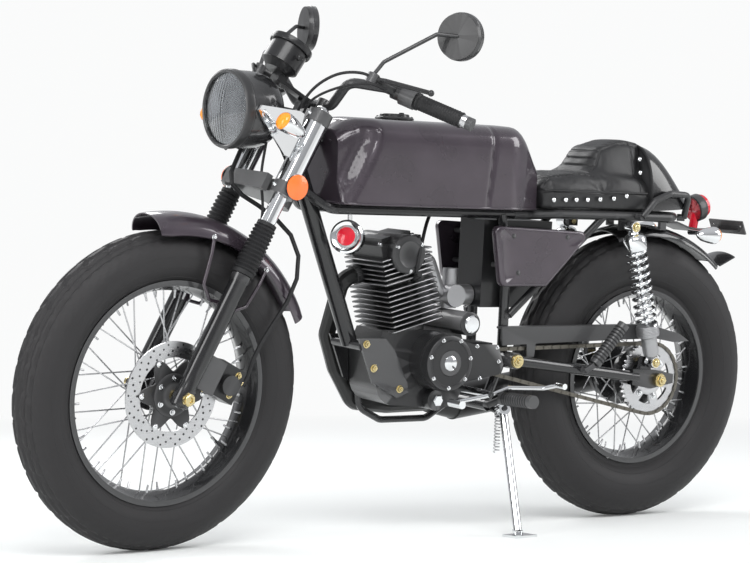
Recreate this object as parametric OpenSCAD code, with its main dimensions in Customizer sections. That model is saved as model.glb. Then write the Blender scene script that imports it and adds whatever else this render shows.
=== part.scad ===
/* [Stance] */
// Distance between the two wheel axles
wheelbase = 1307; // [1220:1:1400]
// Angle of the steering axis back from upright
rake = 27; // [24:0.5:30]
// Distance from the steering axis forward to the front axle
fork_offset = 61.5; // [55:0.5:70]
// Lean to the left while the bike rests on its side stand
lean = 5.26; // [3:0.01:7]
// Handlebar turned to the left at rest
steer = 5.56; // [0:0.01:10]

/* [Front wheel] */
// Outer radius of the front tyre
front_r = 341.5; // [320:0.5:360]
// Width of the front tyre
front_tyre_w = 115; // [90:1:125]
// Outer radius of the front rim flange
front_rim_r = 240; // [225:1:250]
// Width over the front rim flanges
front_rim_w = 81; // [60:1:90]
// Radius of the brake disc
disc_r = 113; // [100:1:130]
// Thickness of the brake disc
disc_t = 4; // [3:0.5:6]

/* [Rear wheel] */
// Outer radius of the rear tyre
rear_r = 349; // [330:0.5:365]
// Width of the rear tyre
rear_tyre_w = 135; // [110:1:140]
// Outer radius of the rear rim flange
rear_rim_r = 214; // [200:1:225]
// Width over the rear rim flanges
rear_rim_w = 85; // [70:1:95]
// Radius of the chain's path round the rear sprocket
sprocket_r = 86; // [70:1:95]
// Distance of the chain from the middle of the bike
chain_y = 81; // [78:1:88]

/* [Fork] */
// Distance of each fork leg from the middle
fork_y = 88; // [82:1:100]
// Radius of the chrome fork tubes
stanchion_r = 16; // [14:0.5:20]
// Radius of the black lower legs
slider_r = 21; // [19:0.5:25]
// Length of the lower legs above the axle
slider_len = 288; // [240:1:320]
// Height of the lower clamp along the fork, from the axle
lower_clamp_z = 478; // [440:1:520]
// Height of the upper clamp along the fork, from the axle
upper_clamp_z = 652; // [610:1:700]
// Thickness of both clamps
clamp_t = 28; // [20:1:36]
// Radius of the steering stem
stem_r = 13; // [10:0.5:16]

/* [Handlebar] */
// Half of the handlebar's width
bar_half = 355; // [300:1:400]
// Radius of the handlebar tube
bar_r = 11; // [10:0.1:13]
// Radius of the grips
grip_r = 17; // [14:0.5:20]
// Length of the grips
grip_len = 108; // [90:1:130]

/* [Lamps] */
// Outer radius of the headlight bowl
headlight_r = 85; // [70:1:100]
// Depth of the headlight bowl
headlight_depth = 128; // [100:1:150]
// Radius of the tail light
tail_light_r = 31; // [25:1:45]

/* [Tank and seat] */
// Length of the fuel tank
tank_len = 552; // [480:1:600]
// Width of the fuel tank
tank_w = 270; // [230:1:300]
// Height of the fuel tank
tank_h = 192; // [160:1:220]
// Width of the seat
seat_w = 232; // [200:1:260]

/* [Engine] */
// Forward lean of the cylinder
cyl_lean = 15; // [5:1:20]
// Width of the cylinder fins
fin_w = 150; // [120:1:160]
// Length of the cylinder fins from front to back
fin_len = 138; // [110:1:150]
// Number of fins on the barrel
fin_count = 9; // [6:1:10]
// Radius of the exhaust header pipe
header_r = 19.5; // [15:0.5:24]
// Radius of the silencer
silencer_r = 44; // [35:1:50]

/* [Stand] */
// Radius of the side stand's leg
stand_r = 10; // [8:0.5:13]

/* [Hidden] */
$fn = 48;

// Small gaps and fits
seat_gap = 0.3;        // between neighbours that only touch
run_gap = 0.05;        // radial play of a shaft in its bore
move_gap = 5.5;        // between pieces that move past each other

// ---------- Where things are, bike upright, x forward of the rear axle, z above the floor ----------
front_axle_r = 8;
rear_axle_r = 9;
pivot = [440, 0, 402];            // swingarm pivot
out_sprocket = [500, 0, 402];     // sprocket on the engine
out_sprocket_r = 34;
arm_y = chain_y + 23;             // swingarm arms, outside the chain
arm_r = 13;
rail_z = 737;                     // tubes under the tank
rail_y = 60;
seat_rail_y = 96;
rail_r = 11;
rail_joint_x = 430;
shock_y = 128;
shock_top = [122, 0, 718];
shock_foot = [34, 0, 394];
stand_pivot = [468, 112, 290];
stand_down = [38, 126, -258];     // the leg's run while the bike is parked
stand_up = [-0.97, 0.20, 0.10];   // where it points when folded
stand_pin_r = 6;
peg_boss = [492, 0, 300];
tank_rear_x = 380;
tank_base_z = rail_z + rail_r + seat_gap;
hub_half = 44;
disc_y = 48;
hub_flange_r = 46;
spoke_r = 1.6;
spoke_sets = 9;                   // spokes in each of the four sets of a wheel

// ---------- Frames of reference ----------
// Height that a tilted round tyre's lowest point keeps: centre height, tilt of its axle, radii
function low_point(z, tilt, r, c) = z - (r - c) * cos(tilt) - c;

// Directions and points turned by the steering and the lean
function turn_z(v, a) = [v[0]*cos(a) - v[1]*sin(a), v[0]*sin(a) + v[1]*cos(a), v[2]];
function turn_y(v, a) = [v[0]*cos(a) + v[2]*sin(a), v[1], v[2]*cos(a) - v[0]*sin(a)];
function turn_x(v, a) = [v[0], v[1]*cos(a) - v[2]*sin(a), v[1]*sin(a) + v[2]*cos(a)];
function steer_dir(v) = turn_y(turn_z(turn_y(v, rake), steer), -rake);
axis_base = [wheelbase - fork_offset*cos(rake), 0, front_r - fork_offset*sin(rake)];
front_centre = axis_base + steer_dir([wheelbase, 0, front_r] - axis_base);
front_low = turn_x(front_centre, -lean)[2];
front_tilt = asin(turn_x(steer_dir([0, 1, 0]), -lean)[2]);
rear_low = low_point(rear_r*cos(lean), lean, rear_r, rear_tyre_w/2);
nose_low = low_point(front_low, front_tilt, front_r, front_tyre_w/2);
pitch = atan((nose_low - rear_low) / wheelbase);

// The origin lies on the floor, under the middle of the parked bike's own box
box_middle = [-4.175, 78.285];
module stance()
  translate([-wheelbase/2 - box_middle[0], -box_middle[1], -rear_low]) rotate([-lean, pitch, 0]) children();

module steered()
  stance() translate(axis_base) rotate([0, -rake, 0]) rotate([0, 0, steer])
    translate([fork_offset, 0, 0]) children();

// ---------- Shared shapes ----------
function dist(a, b) = norm(b - a);

module aim(a, b) {
  d = b - a;
  translate(a) rotate([0, acos(d[2]/norm(d)), atan2(d[1], d[0])]) children();
}

module rod(a, b, r, r2 = -1)
  aim(a, b) cylinder(h = dist(a, b), r1 = r, r2 = r2 < 0 ? r : r2);

// A bent tube: straight runs between the points, joined by round bends
function unit(v) = v / norm(v);
function run_in(p, i) = unit(p[i] - p[i - 1]);
function turn_at(p, i) = acos(min(1, run_in(p, i)*run_in(p, i + 1)));
bend_steps = 5;
function bend_points(p, i, bend) =
  let (a = run_in(p, i), b = run_in(p, i + 1), n = unit(b - (a*b)*a), turn = turn_at(p, i),
    c = p[i] - a*bend*tan(turn/2) + n*bend)
  [for (k = [0 : bend_steps]) c + bend*(sin(turn*k/bend_steps)*a - cos(turn*k/bend_steps)*n)];
function rounded(p, bend) = concat(
  [p[0]],
  [for (i = [1 : len(p) - 2]) each bend_points(p, i, bend)],
  [p[len(p) - 1]]);
module pipe(points, r, bend = 30, sides = 12) swept(rounded(points, bend), r, sides);

module both_sides() {
  children();
  mirror([0, 1, 0]) children();
}

// Pieces whose axis runs across the bike, between two distances from its middle
module across(r, y1, y2)
  translate([0, y1, 0]) rotate([-90, 0, 0]) cylinder(h = y2 - y1, r = r);

module ring(r_out, r_in, y1, y2)
  difference() {
    across(r_out, y1, y2);
    across(r_in, y1 - 1, y2 + 1);
  }

module side_plate(outline, y, t)
  translate([0, y + t, 0]) rotate([90, 0, 0]) linear_extrude(t) polygon(outline);

// Wheel pieces, axle along Y, centre at the origin
module wheel_spin() rotate([90, 0, 0]) rotate_extrude($fn = 96) children();

module tyre(r, w, rim_r, rim_w) {
  c = w/2;
  bead = rim_w/2 - 4 - seat_gap;
  wheel_spin() {
    difference() {
      translate([r - c, 0]) circle(c, $fn = 64);
      translate([0, -w]) square([rim_r + seat_gap, 2*w]);
    }
    translate([rim_r - 14 + seat_gap, -bead]) square([34, 2*bead]);
  }
}

module rim(rim_r, rim_w)
  wheel_spin() {
    translate([rim_r - 22, -rim_w/2]) square([8, rim_w]);
    for (s = [-1, 1]) translate([rim_r - 16, s*(rim_w/2 - 2) - 2]) square([16, 4]);
  }

// Each set: side, start offset outward, lean of the spoke round the wheel, offset at the rim
spoke_table = [
  // side, hub_y, sweep, rim_y, phase
  [ 1,  3,  38,  9,  0],
  [ 1, -3, -38,  4, 20],
  [-1,  3,  38,  9, 10],
  [-1, -3, -38,  4, 30]
];

module spokes(flange_r, flange_y, rim_in)
  for (set = spoke_table, i = [0 : spoke_sets - 1]) {
    a = i*360/spoke_sets + set[4];
    hub_y = set[0]*(flange_y + set[1]);
    rod(
      [flange_r*cos(a + set[2]*1.6), hub_y, flange_r*sin(a + set[2]*1.6)],
      [(rim_in + 3)*cos(a), set[0]*set[3], (rim_in + 3)*sin(a)], spoke_r, -1, $fn = 16);
  }

// Points round an arc
function arc(cx, cy, r, a1, a2, n) =
  [for (i = [0 : n]) [cx + r*cos(a1 + (a2 - a1)*i/n), cy + r*sin(a1 + (a2 - a1)*i/n)]];

// A round tube swept along points: rings of a polyhedron, closed at both ends
function tangent(p, i) = unit(p[min(i + 1, len(p) - 1)] - p[max(i - 1, 0)]);
function square_to(t, u) = unit(u - (u*t)*t);
function first_side(t) = square_to(t, abs(t[2]) < 0.7 ? [0, 0, 1] : [1, 0, 0]);
function sides_of(p) = [
  for (i = 0, u = first_side(tangent(p, 0)); i < len(p);
    i = i + 1, u = square_to(tangent(p, min(i, len(p) - 1)), u)) u];
module swept(p, r, n = 8) {
  us = sides_of(p);
  rings = [for (i = [0 : len(p) - 1])
    let (u = us[i], v = cross(tangent(p, i), u))
    for (k = [0 : n - 1]) p[i] + r*(cos(360*k/n)*u + sin(360*k/n)*v)];
  last = (len(p) - 1)*n;
  polyhedron(
    points = rings,
    faces = concat(
      [[for (k = [0 : n - 1]) k]],
      [for (i = [0 : len(p) - 2], k = [0 : n - 1])
        [i*n + k, (i + 1)*n + k, (i + 1)*n + (k + 1) % n, i*n + (k + 1) % n]],
      [[for (k = [n - 1 : -1 : 0]) last + k]]
    ));
}

// ---------- Frame ----------
head_low = lower_clamp_z + clamp_t + seat_gap;
head_high = upper_clamp_z - seat_gap;
function on_fork(x, y, z) = [
  wheelbase + x*cos(rake) - z*sin(rake), y, front_r + x*sin(rake) + z*cos(rake)];
head_mid = on_fork(-fork_offset, 0, 582);
pivot_tube_y = rail_y;
mount_y = 56;
plate_t = 6;
plate_outline = [[842, 452], [770, 452], [744, 425], [706, 352], [700, 330], [732, 318], [800, 352]];
front_bolts = [[822, 440], [799, 386], [726, 338]];

module headstock_hole()
  translate(on_fork(-fork_offset, 0, 0)) rotate([0, -rake, 0])
    translate([0, 0, head_low - 60]) cylinder(h = head_high - head_low + 120, r = stem_r + run_gap);

cross_half = 76;
guard_y = mount_y + 6.5;
stand_axis = unit(cross(stand_down, stand_up));
module at_stand() aim(stand_pivot, stand_pivot + stand_axis) children();
module main_frame() color([0.09, 0.09, 0.1]) stance()
  difference() {
    union() {
      translate(on_fork(-fork_offset, 0, 0)) rotate([0, -rake, 0])
        translate([0, 0, head_low]) cylinder(h = head_high - head_low, r = 27);
      rod(head_mid, [826, 0, 436], 19);
      both_sides() {
        pipe([on_fork(-fork_offset - 4, 5, 540), [938, rail_y, rail_z], [rail_joint_x, rail_y, rail_z]],
          rail_r, 40);
        pipe([[466, rail_y + 2, rail_z], [442, pivot_tube_y, 660], [440, pivot_tube_y, 402],
          [484, pivot_tube_y, 296]], 12, 40);
        side_plate(plate_outline, mount_y, plate_t);
      }
      translate([826, 0, 436]) across(12.5, -mount_y - 1, mount_y + 1);
      translate([484, 0, 296]) across(13, -cross_half, cross_half);
      pipe([[758, -guard_y, 338], [750, -guard_y, 280], [690, -guard_y, 250], [560, -guard_y, 250],
        [486, -guard_y, 294]], 8, 34);
      at_stand() {
        translate([0, 0, -18.3]) cylinder(h = 8, r = 15);
        translate([0, 0, -18]) cylinder(h = 32, r = stand_pin_r);
      }
      rod([478, 62, 290], stand_pivot - 14.5*stand_axis, 7);
    }
    headstock_hole();
    translate(pivot) across(9 + run_gap, -200, 200);
  }

seat_loop = [
  [rail_joint_x - seat_gap, rail_y, rail_z], [385, rail_y, rail_z],
  [326, seat_rail_y, rail_z + 5],
  [-30, seat_rail_y, rail_z + 5], [-84, 40, rail_z + 5]];
function flip(list) = [for (i = [len(list) - 1 : -1 : 0]) list[i]];
module seat_frame() color([0.09, 0.09, 0.1]) stance()
  union() {
    pipe([for (s = [1, -1], q = s > 0 ? seat_loop : flip(seat_loop)) [q[0], s*q[1], q[2]]], rail_r, 34);
    both_sides() {
      rod([185, seat_rail_y, rail_z + 3], [443, pivot_tube_y + 22, 505], 9);
    }
    both_sides() {
      translate([443, 0, 505]) across(8, pivot_tube_y + 12 + seat_gap, pivot_tube_y + 22);
      translate([shock_top[0], 0, shock_top[2]]) across(10, seat_rail_y - 4, shock_y - 16);
      translate([shock_top[0] - 14, seat_rail_y - 5, shock_top[2] - 10]) cube([28, 8, 34]);
    }
  }

module swingarm() color([0.09, 0.09, 0.1]) stance()
  difference() {
    union() {
      both_sides() {
        translate(pivot) across(19, pivot_tube_y + 12 + seat_gap, arm_y + 13);
        rod([pivot[0], arm_y, pivot[2]], [60, arm_y, 356], arm_r);
        side_plate([[80, 376], [80, 338], [20, 328], [-50, 340], [-50, 362], [10, 374]], arm_y - 9, 18);
        translate([shock_foot[0], 0, shock_foot[2]]) across(9, arm_y - 8, shock_y - 19 - seat_gap);
        side_plate([[shock_foot[0] - 16, 365], [shock_foot[0] + 22, 365],
          [shock_foot[0] + 12, shock_foot[2] + 12], [shock_foot[0] - 12, shock_foot[2] + 12]], arm_y - 8, 12);
      }
      translate([388, 0, 396]) across(12.5, -arm_y, arm_y);
    }
    translate([0, 0, rear_r]) across(rear_axle_r + run_gap, -200, 200);
    translate(pivot) across(9 + run_gap, -200, 200);
  }

module rear_axle() color("silver") stance() {
  translate([0, 0, rear_r]) difference() {
    union() {
      across(rear_axle_r, -arm_y - 24, arm_y + 24);
      both_sides() across(16, arm_y + 10 + seat_gap, arm_y + 20);
      both_sides() across(14, hub_half + seat_gap, arm_y - 10 - seat_gap);
    }
    both_sides() across(6, arm_y - 20, arm_y + 40);
  }
  translate(pivot) difference() {
    union() {
      across(9, -arm_y - 20, arm_y + 20);
      both_sides() across(15, arm_y + 13 + seat_gap, arm_y + 20);
    }
  }
}

// ---------- Engine ----------
case_top_z = 470;
case_outline = concat(
  [[560, case_top_z], [548, 440], [540, 330]],
  arc(600, 345, 55, 190, 270, 6),
  arc(735, 350, 50, -80, 0, 5),
  [[790, 430], [772, case_top_z]]);
cover_c = [632, 0, 401];
cyl_foot = [690, 0, 476];

module engine_case() color([0.1, 0.1, 0.11]) stance()
  union() {
    side_plate(case_outline, -54, 108);
    translate(cover_c) {
      across(66, 0, 96);
      across(62, 90, 118);
      across(24, 110, 121);
      across(68, -112, 0);
    }
    side_plate([[476, 372], [640, 350], [640, 440], [600, 452], [478, 440]], 20, chain_y - 29);
    side_plate([[463, 393], [474, 370], [600, 350], [600, 452], [546, 440], [480, 438]], chain_y + 9, 8);
    translate(out_sprocket) across(out_sprocket_r - 4.5 - seat_gap, 60, chain_y + 4);
    translate([566, 0, 487]) across(27, -60, 98);
    translate([632, 0, 312]) across(24, 0, 76);
  }

module tilted_cylinder()
  translate(cyl_foot) rotate([0, cyl_lean, 0]) children();

barrel_h = 110;
module fin(z, l, w, t) translate([-l/2, -w/2, z]) cube([l, w, t]);

module engine_barrel() color([0.09, 0.09, 0.1]) stance()
  difference() {
    tilted_cylinder() {
      translate([0, 0, -30]) cylinder(h = barrel_h + 30, r = 52);
      for (i = [0 : fin_count - 1]) fin(6 + i*(barrel_h - 12)/(fin_count - 0.6), fin_len, fin_w, 3.5);
    }
    translate([0, -200, 0]) cube([900, 400, case_top_z + seat_gap]);
  }

port = [fin_len/2 + 14, -30, barrel_h + 26];
module engine_head() color([0.09, 0.09, 0.1]) stance()
  tilted_cylinder() {
    translate([0, 0, barrel_h + seat_gap]) {
      translate([-fin_len/2 + 14, -fin_w/2 + 14, 0]) cube([fin_len - 28, fin_w - 28, 92]);
      for (i = [0 : 5]) fin(4 + i*11, fin_len, fin_w, 3.5);
      translate([0, 0, 62]) rotate([-90, 0, 0]) translate([0, 0, -fin_w/2 - 6]) cylinder(h = fin_w + 12, r = 44);
      translate([-40, -44, 88]) cube([80, 88, 16]);
    }
    translate(port - [34, 0, 0]) rotate([0, 90, 0]) cylinder(h = 34, r = 22);
  }

header_start = cyl_foot + turn_y(port + [seat_gap, 0, 0], cyl_lean);
header_end = [500, -146, 272];
silencer_front = [420, -158, 272];
silencer_back = [-60, -180, 330];
header_points = [header_start, header_start + turn_y([30, 0, 0], cyl_lean), [828, -92, 446],
  [800, -92, 370], [748, -92, 290], [640, -112, 276], header_end - [30, 6, 0]];
module exhaust() color([0.07, 0.07, 0.08]) stance()
  union() {
    pipe(header_points, header_r, 30);
    rod(header_end, silencer_front - [8, 1, 0], header_r + 2, silencer_r - 2);
    rod(silencer_front, silencer_back, silencer_r);
    rod(silencer_back + [8, 0, -1], silencer_back + [-50, -2, 5], silencer_r - 1, 26);
  }

intake = cyl_foot + turn_y([-fin_len/2 - seat_gap, 0, barrel_h + 22], cyl_lean);
module carburettor() color([0.25, 0.25, 0.26]) stance()
  union() {
    pipe([intake, intake + turn_y([-34, 0, 0], cyl_lean), [590, 0, 556], [566, 0, 546]], 17, 18);
    rod([574, 0, 547], [502, 0, 545], 24);
    translate([560, 0, 545]) across(26, -34, 34);
    translate([562, 0, 515.5]) cylinder(h = 30, r = 22);
    translate([556, 0, 545]) cylinder(h = 62, r = 18);
  }

air_box_half = 46;
module air_box() color([0.06, 0.06, 0.06]) stance()
  side_plate([[500, 520], [500, 722], [300, 722], [300, 640], [390, 520]], -air_box_half, 2*air_box_half);

// ---------- Bodywork ----------
tank_front_x = tank_rear_x + tank_len;
tank_top_z = tank_base_z + tank_h;
module fuel_tank() color([0.2, 0.18, 0.2]) stance()
  hull() {
    for (s = [-1, 1]) {
      translate([tank_rear_x + 30, s*(tank_w/2 - 55), tank_base_z]) cylinder(h = 1, r = 30);
      translate([tank_rear_x + 32, s*(tank_w/2 - 62), tank_base_z + 90]) sphere(32, $fn = 32);
      translate([tank_rear_x + 110, s*(tank_w/2 - 60), tank_top_z - 62]) sphere(50, $fn = 32);
      translate([tank_front_x - 118, s*(tank_w/2 - 50), tank_top_z - 52]) sphere(48, $fn = 32);
      translate([tank_front_x - 36, s*(tank_w/2 - 60), tank_base_z]) cylinder(h = 1, r = 28);
      translate([tank_front_x - 70, s*(tank_w/2 - 30), tank_base_z]) cylinder(h = 1, r = 30);
      translate([tank_rear_x + 90, s*(tank_w/2 - 30), tank_base_z]) cylinder(h = 1, r = 30);
    }
    translate([tank_rear_x + 120, -40, tank_top_z - 20]) cube([tank_len - 230, 80, 20]);
  }

module fuel_cap() color([0.08, 0.08, 0.08]) stance()
  translate([735, 0, tank_top_z + seat_gap]) {
    cylinder(h = 6, r = 38);
    cylinder(h = 14, r = 28);
  }

seat_base_z = rail_z + 5 + rail_r + seat_gap;
seat_back_x = 50;
module seat() color([0.08, 0.08, 0.09]) stance()
  union() {
    hull() for (s = [-1, 1]) {
      translate([tank_rear_x - 26, s*(seat_w/2 - 22), seat_base_z + 20]) sphere(20, $fn = 32);
      translate([tank_rear_x - 30, s*(seat_w/2 - 34), seat_base_z + 58]) sphere(20, $fn = 32);
      translate([seat_back_x + 22, s*(seat_w/2 - 22), seat_base_z + 20]) sphere(20, $fn = 32);
      translate([seat_back_x + 22, s*(seat_w/2 - 34), seat_base_z + 66]) sphere(20, $fn = 32);
    }
    hull() {
      for (s = [-1, 1]) {
        translate([seat_back_x + 30, s*(seat_w/2 - 30), seat_base_z + 50]) sphere(28, $fn = 32);
        translate([seat_back_x + 26, s*(seat_w/2 - 62), seat_base_z + 118]) sphere(24, $fn = 32);
        translate([seat_back_x + 140, s*(seat_w/2 - 56), seat_base_z + 66]) sphere(22, $fn = 32);
      }
      translate([seat_back_x + 32, 0, seat_base_z + 138]) sphere(30, $fn = 32);
    }
  }

module seat_cowl() color([0.04, 0.04, 0.04]) stance()
  hull() {
    for (s = [-1, 1]) {
      translate([seat_back_x - 24, s*(seat_w/2 - 22), seat_base_z + 20]) sphere(20, $fn = 32);
      translate([seat_back_x - 28, s*(seat_w/2 - 62), seat_base_z + 112]) sphere(22, $fn = 32);
      translate([-70, s*40, seat_base_z + 20]) sphere(20, $fn = 32);
    }
    translate([-106, 0, seat_base_z + 36]) sphere(26, $fn = 32);
    translate([seat_back_x - 30, 0, seat_base_z + 132]) sphere(24, $fn = 32);
  }

cover_outline = concat(
  arc(508, 698, 14, 90, 0, 3),
  arc(484, 592, 18, -10, -90, 4),
  arc(370, 584, 10, -90, -140, 3),
  arc(268, 690, 14, 215, 90, 5));
module side_covers() color([0.2, 0.18, 0.2]) stance()
  both_sides() {
    side_plate(cover_outline, 104, 18);
    for (p = [[470, 690], [330, 690], [470, 620]])
      translate([p[0], 0, p[1]]) across(6, air_box_half + seat_gap, 105);
  }

module rear_fender() color([0.05, 0.05, 0.05]) stance()
  union() {
    difference() {
      translate([0, 0, rear_r]) rotate([90, 0, 0]) rotate([0, 0, 72])
        rotate_extrude(angle = 58, $fn = 96) {
          translate([rear_r + 20, -64]) square([3, 128]);
          for (s = [-1, 1]) translate([rear_r + 6, s*62 - 2]) square([16, 4]);
        }
      translate([-130, -50, rail_z - 20]) cube([400, 300, 100]);
    }
    both_sides() {
      translate([-10, 56, 712]) cube([20, 46, 4]);
      translate([-10, seat_rail_y - 6, 714]) cube([20, 12, rail_z + 5 - rail_r - seat_gap - 714]);
    }
  }

grab_out = [-0.72, 0.694, 0];     // away from the tail loop at the rail's rear end
grab_foot = [-57, 68, rail_z + 5];
module grab_rail() color([0.05, 0.05, 0.05]) stance()
  both_sides() {
    translate([90, 0, rail_z + 5]) across(8.5, seat_rail_y + rail_r + seat_gap, 126);
    pipe([[90, 124, rail_z + 5], [52, 125, 782], [4, 124, 800], [-66, 112, 797],
      grab_foot + 28*grab_out], 8, 20);
    rod(grab_foot + (rail_r + seat_gap)*grab_out, grab_foot + 30*grab_out, 8.5);
  }

// ---------- Rear suspension ----------
function shock_at(t) = [
  shock_foot[0] + t*(shock_top[0] - shock_foot[0]), shock_y,
  shock_foot[2] + t*(shock_top[2] - shock_foot[2])];
shock_len = dist(shock_at(0), shock_at(1));
coil_count = 11;
module rear_shocks() color("silver") stance()
  both_sides() {
    translate([shock_foot[0], 0, shock_foot[2]]) across(15, shock_y - 19, shock_y + 14);
    translate([shock_top[0], 0, shock_top[2]]) across(15, shock_y - 16 + seat_gap, shock_y + 14);
    aim(shock_at(0), shock_at(1)) {
      cylinder(h = 120, r = 19);
      cylinder(h = shock_len - 10, r = 9);
      translate([0, 0, 108]) cylinder(h = 8, r = 28);
      translate([0, 0, shock_len - 60]) cylinder(h = 34, r = 27);
      for (i = [0 : coil_count - 1])
        translate([0, 0, 120 + i*(shock_len - 184)/(coil_count - 1)])
          rotate_extrude() translate([22, 0]) circle(4.5, $fn = 20);
      cylinder(h = shock_len - 40, r = 19);
    }
  }

// ---------- Tail ----------
tail_c = [-208, 0, 768];
module tail_light() color([0.6, 0.05, 0.08]) stance()
  union() {
    translate(tail_c) rotate([0, -72, 0]) {
      translate([0, 0, -26]) cylinder(h = 26, r = tail_light_r);
      cylinder(h = 16, r1 = tail_light_r - 2, r2 = tail_light_r - 8);
    }
    rod([-196, 0, 750], [-190, 0, 714.3], 11);
  }

plate_hole_r = 3.25;
plate_hole_y = 48;
module plate_bracket() color([0.08, 0.08, 0.08]) stance()
  difference() {
    union() {
      side_plate([[-70, 730.7], [-100, 730.7], [-160, 712], [-312, 712], [-312, 707], [-162, 707],
        [-101, 725.5], [-70, 725.5]], -40, 80);
      translate([-318, -60, 704]) rotate([0, 25, 0]) cube([4, 120, 36]);
    }
    for (s = [-1, 1])
      translate([-318, s*plate_hole_y, 704]) rotate([0, 25, 0]) translate([0, 0, 22]) rotate([0, 90, 0])
        translate([0, 0, -10]) cylinder(h = 30, r = plate_hole_r);
  }

module bullet(len, r) {
  cylinder(h = 14, r1 = r - 2, r2 = r);
  translate([0, 0, 14]) cylinder(h = 8, r = r);
  translate([0, 0, 22]) cylinder(h = len - 30, r1 = r, r2 = 7);
  translate([0, 0, len - 8]) sphere(7);
}

module rear_indicators() color("silver") stance()
  both_sides() {
    translate([-146, 118, 702]) rotate([0, 90, 0]) bullet(80, 22);
    translate([-130, 0, 719]) across(5, 40 + seat_gap, 112);
  }

// ---------- Foot controls ----------
module foot_pegs() color([0.12, 0.12, 0.12]) stance()
  both_sides() {
    rod([490, 136, 320], [490, 250, 326], 15);
    translate(peg_boss) across(8, cross_half + seat_gap, 92);
    rod(peg_boss + [0, 90, 0], [490, 137, 320], 7.5);
    rod([226, 142, 394], [150, 150, 488], 14);
    translate([240, 0, 378]) across(8, arm_y + arm_r + seat_gap, 130);
    rod([240, 128, 378], [226, 142, 394], 7.5);
  }

module foot_levers() color("silver") stance() {
  pipe([[672, 186, 322], [640, 166, 320], [548, 162, 332], [495, 162, 348], [390, 162, 344],
    [366, 180, 352]], 5, 12);
  rod([672, 184, 322], [672, 228, 322], 9);
  rod([366, 176, 352], [366, 206, 352], 7);
  translate([548, 0, 334]) across(8, 54 + seat_gap, 168);
  mirror([0, 1, 0]) {
    pipe([[664, 196, 340], [640, 196, 336], [548, 200, 334]], 6, 14);
    rod([664, 186, 340], [664, 222, 340], 9);
    translate([548, 0, 334]) across(8, 54 + seat_gap, 204);
  }
}

module horn() color("silver") stance()
  translate([888, 66, 676]) {
    rotate([0, 78, 40]) {
      translate([0, 0, -8]) cylinder(h = 18, r = 37);
      translate([0, 0, -26]) cylinder(h = 22, r = 22);
      translate([0, 0, 9]) cylinder(h = 6, r = 22);
    }
    translate([-8, -8, 0]) cylinder(h = rail_z - 676 - rail_r - seat_gap, r = 5);
  }

// ---------- Chain ----------
chain_t = 14;
chain_h = 9;
chain_run = dist([0, rear_r], [out_sprocket[0], out_sprocket[2]]);
chain_slope = atan2(out_sprocket[2] - rear_r, out_sprocket[0]);
chain_spread = asin((sprocket_r - out_sprocket_r)/chain_run);
function belt(grow) = concat(
  arc(0, rear_r, sprocket_r + grow, chain_slope + 90 + chain_spread, chain_slope + 270 - chain_spread, 24),
  arc(out_sprocket[0], out_sprocket[2], out_sprocket_r + grow, chain_slope - 90 - chain_spread,
    chain_slope + 90 + chain_spread, 12));
module drive_chain() color([0.3, 0.29, 0.27]) stance()
  difference() {
    side_plate(belt(chain_h/2), chain_y - chain_t/2, chain_t);
    side_plate(belt(-chain_h/2), chain_y - chain_t/2 - 1, chain_t + 2);
  }

module chain_guard() color([0.1, 0.1, 0.1]) stance()
  union() {
    side_plate([[470, 478], [466, 436], [360, 440], [0, 448], [-60, 438], [-112, 440], [-80, 458], [20, 482]],
      chain_y + 10, 4);
    side_plate([[470, 474], [470, 479], [20, 482], [20, 477]], chain_y - 6.5, 18);
    side_plate([[372, 408.8], [392, 408.8], [396, 445], [368, 445]], chain_y + 10, 4);
  }

module rear_brake_plate() color([0.12, 0.12, 0.12]) stance()
  difference() {
    translate([0, 0, rear_r]) across(62, -74, -62);
    translate([0, 0, rear_r]) across(14 + seat_gap, -90, -50);
  }

// ---------- Steering ----------
module fork_tubes() color("silver") steered()
  both_sides() translate([0, fork_y, 0]) {
    translate([0, 0, 130]) cylinder(h = upper_clamp_z + clamp_t - 130 + 4, r = stanchion_r);
    difference() {
      translate([0, 0, lower_clamp_z + clamp_t + seat_gap])
        cylinder(h = upper_clamp_z - lower_clamp_z - clamp_t - 2*seat_gap, r = 24);
    }
    translate([0, -2.7, 0]) rotate([90, 0, 0]) translate([0, 0, -6])
      linear_extrude(6) polygon([[8, 560], [22, 590], [40, 655], [54, 654], [146, 616], [148, 602], [130, 592], [40, 555]]);
    translate([128, -5, 606]) rotate([-90, 0, 0]) cylinder(h = 11, r = 9);
  }

module fork_sliders() color([0.08, 0.08, 0.09]) steered()
  both_sides() translate([0, fork_y, 0])
    difference() {
      union() {
        translate([0, 0, -20]) cylinder(h = slider_len + 20, r = slider_r);
        translate([0, 0, slider_len - 26]) cylinder(h = 26, r = slider_r + 4);
      }
      translate([0, 0, 128]) cylinder(h = slider_len, r = stanchion_r + run_gap);
      across(front_axle_r + run_gap, -60, 60);
    }

gaiter_table = [
  // side, top along the fork
  [ 1, 411],
  [-1, lower_clamp_z - seat_gap - 8]
];
gaiter_rings = 12;
module fork_gaiters() color([0.06, 0.06, 0.06]) steered()
  for (g = gaiter_table) translate([0, g[0]*fork_y, 0]) {
    pitch_z = (g[1] - slider_len)/gaiter_rings;
    difference() {
      union() {
        translate([0, 0, slider_len + seat_gap]) cylinder(h = g[1] - slider_len, r = 21.5);
        for (i = [0 : gaiter_rings - 1])
          translate([0, 0, slider_len + seat_gap + (i + 0.5)*pitch_z])
            rotate_extrude() translate([22.5, 0]) circle(3.2, $fn = 16);
      }
      translate([0, 0, slider_len - 20]) cylinder(h = 400, r = stanchion_r + run_gap);
    }
  }

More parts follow.
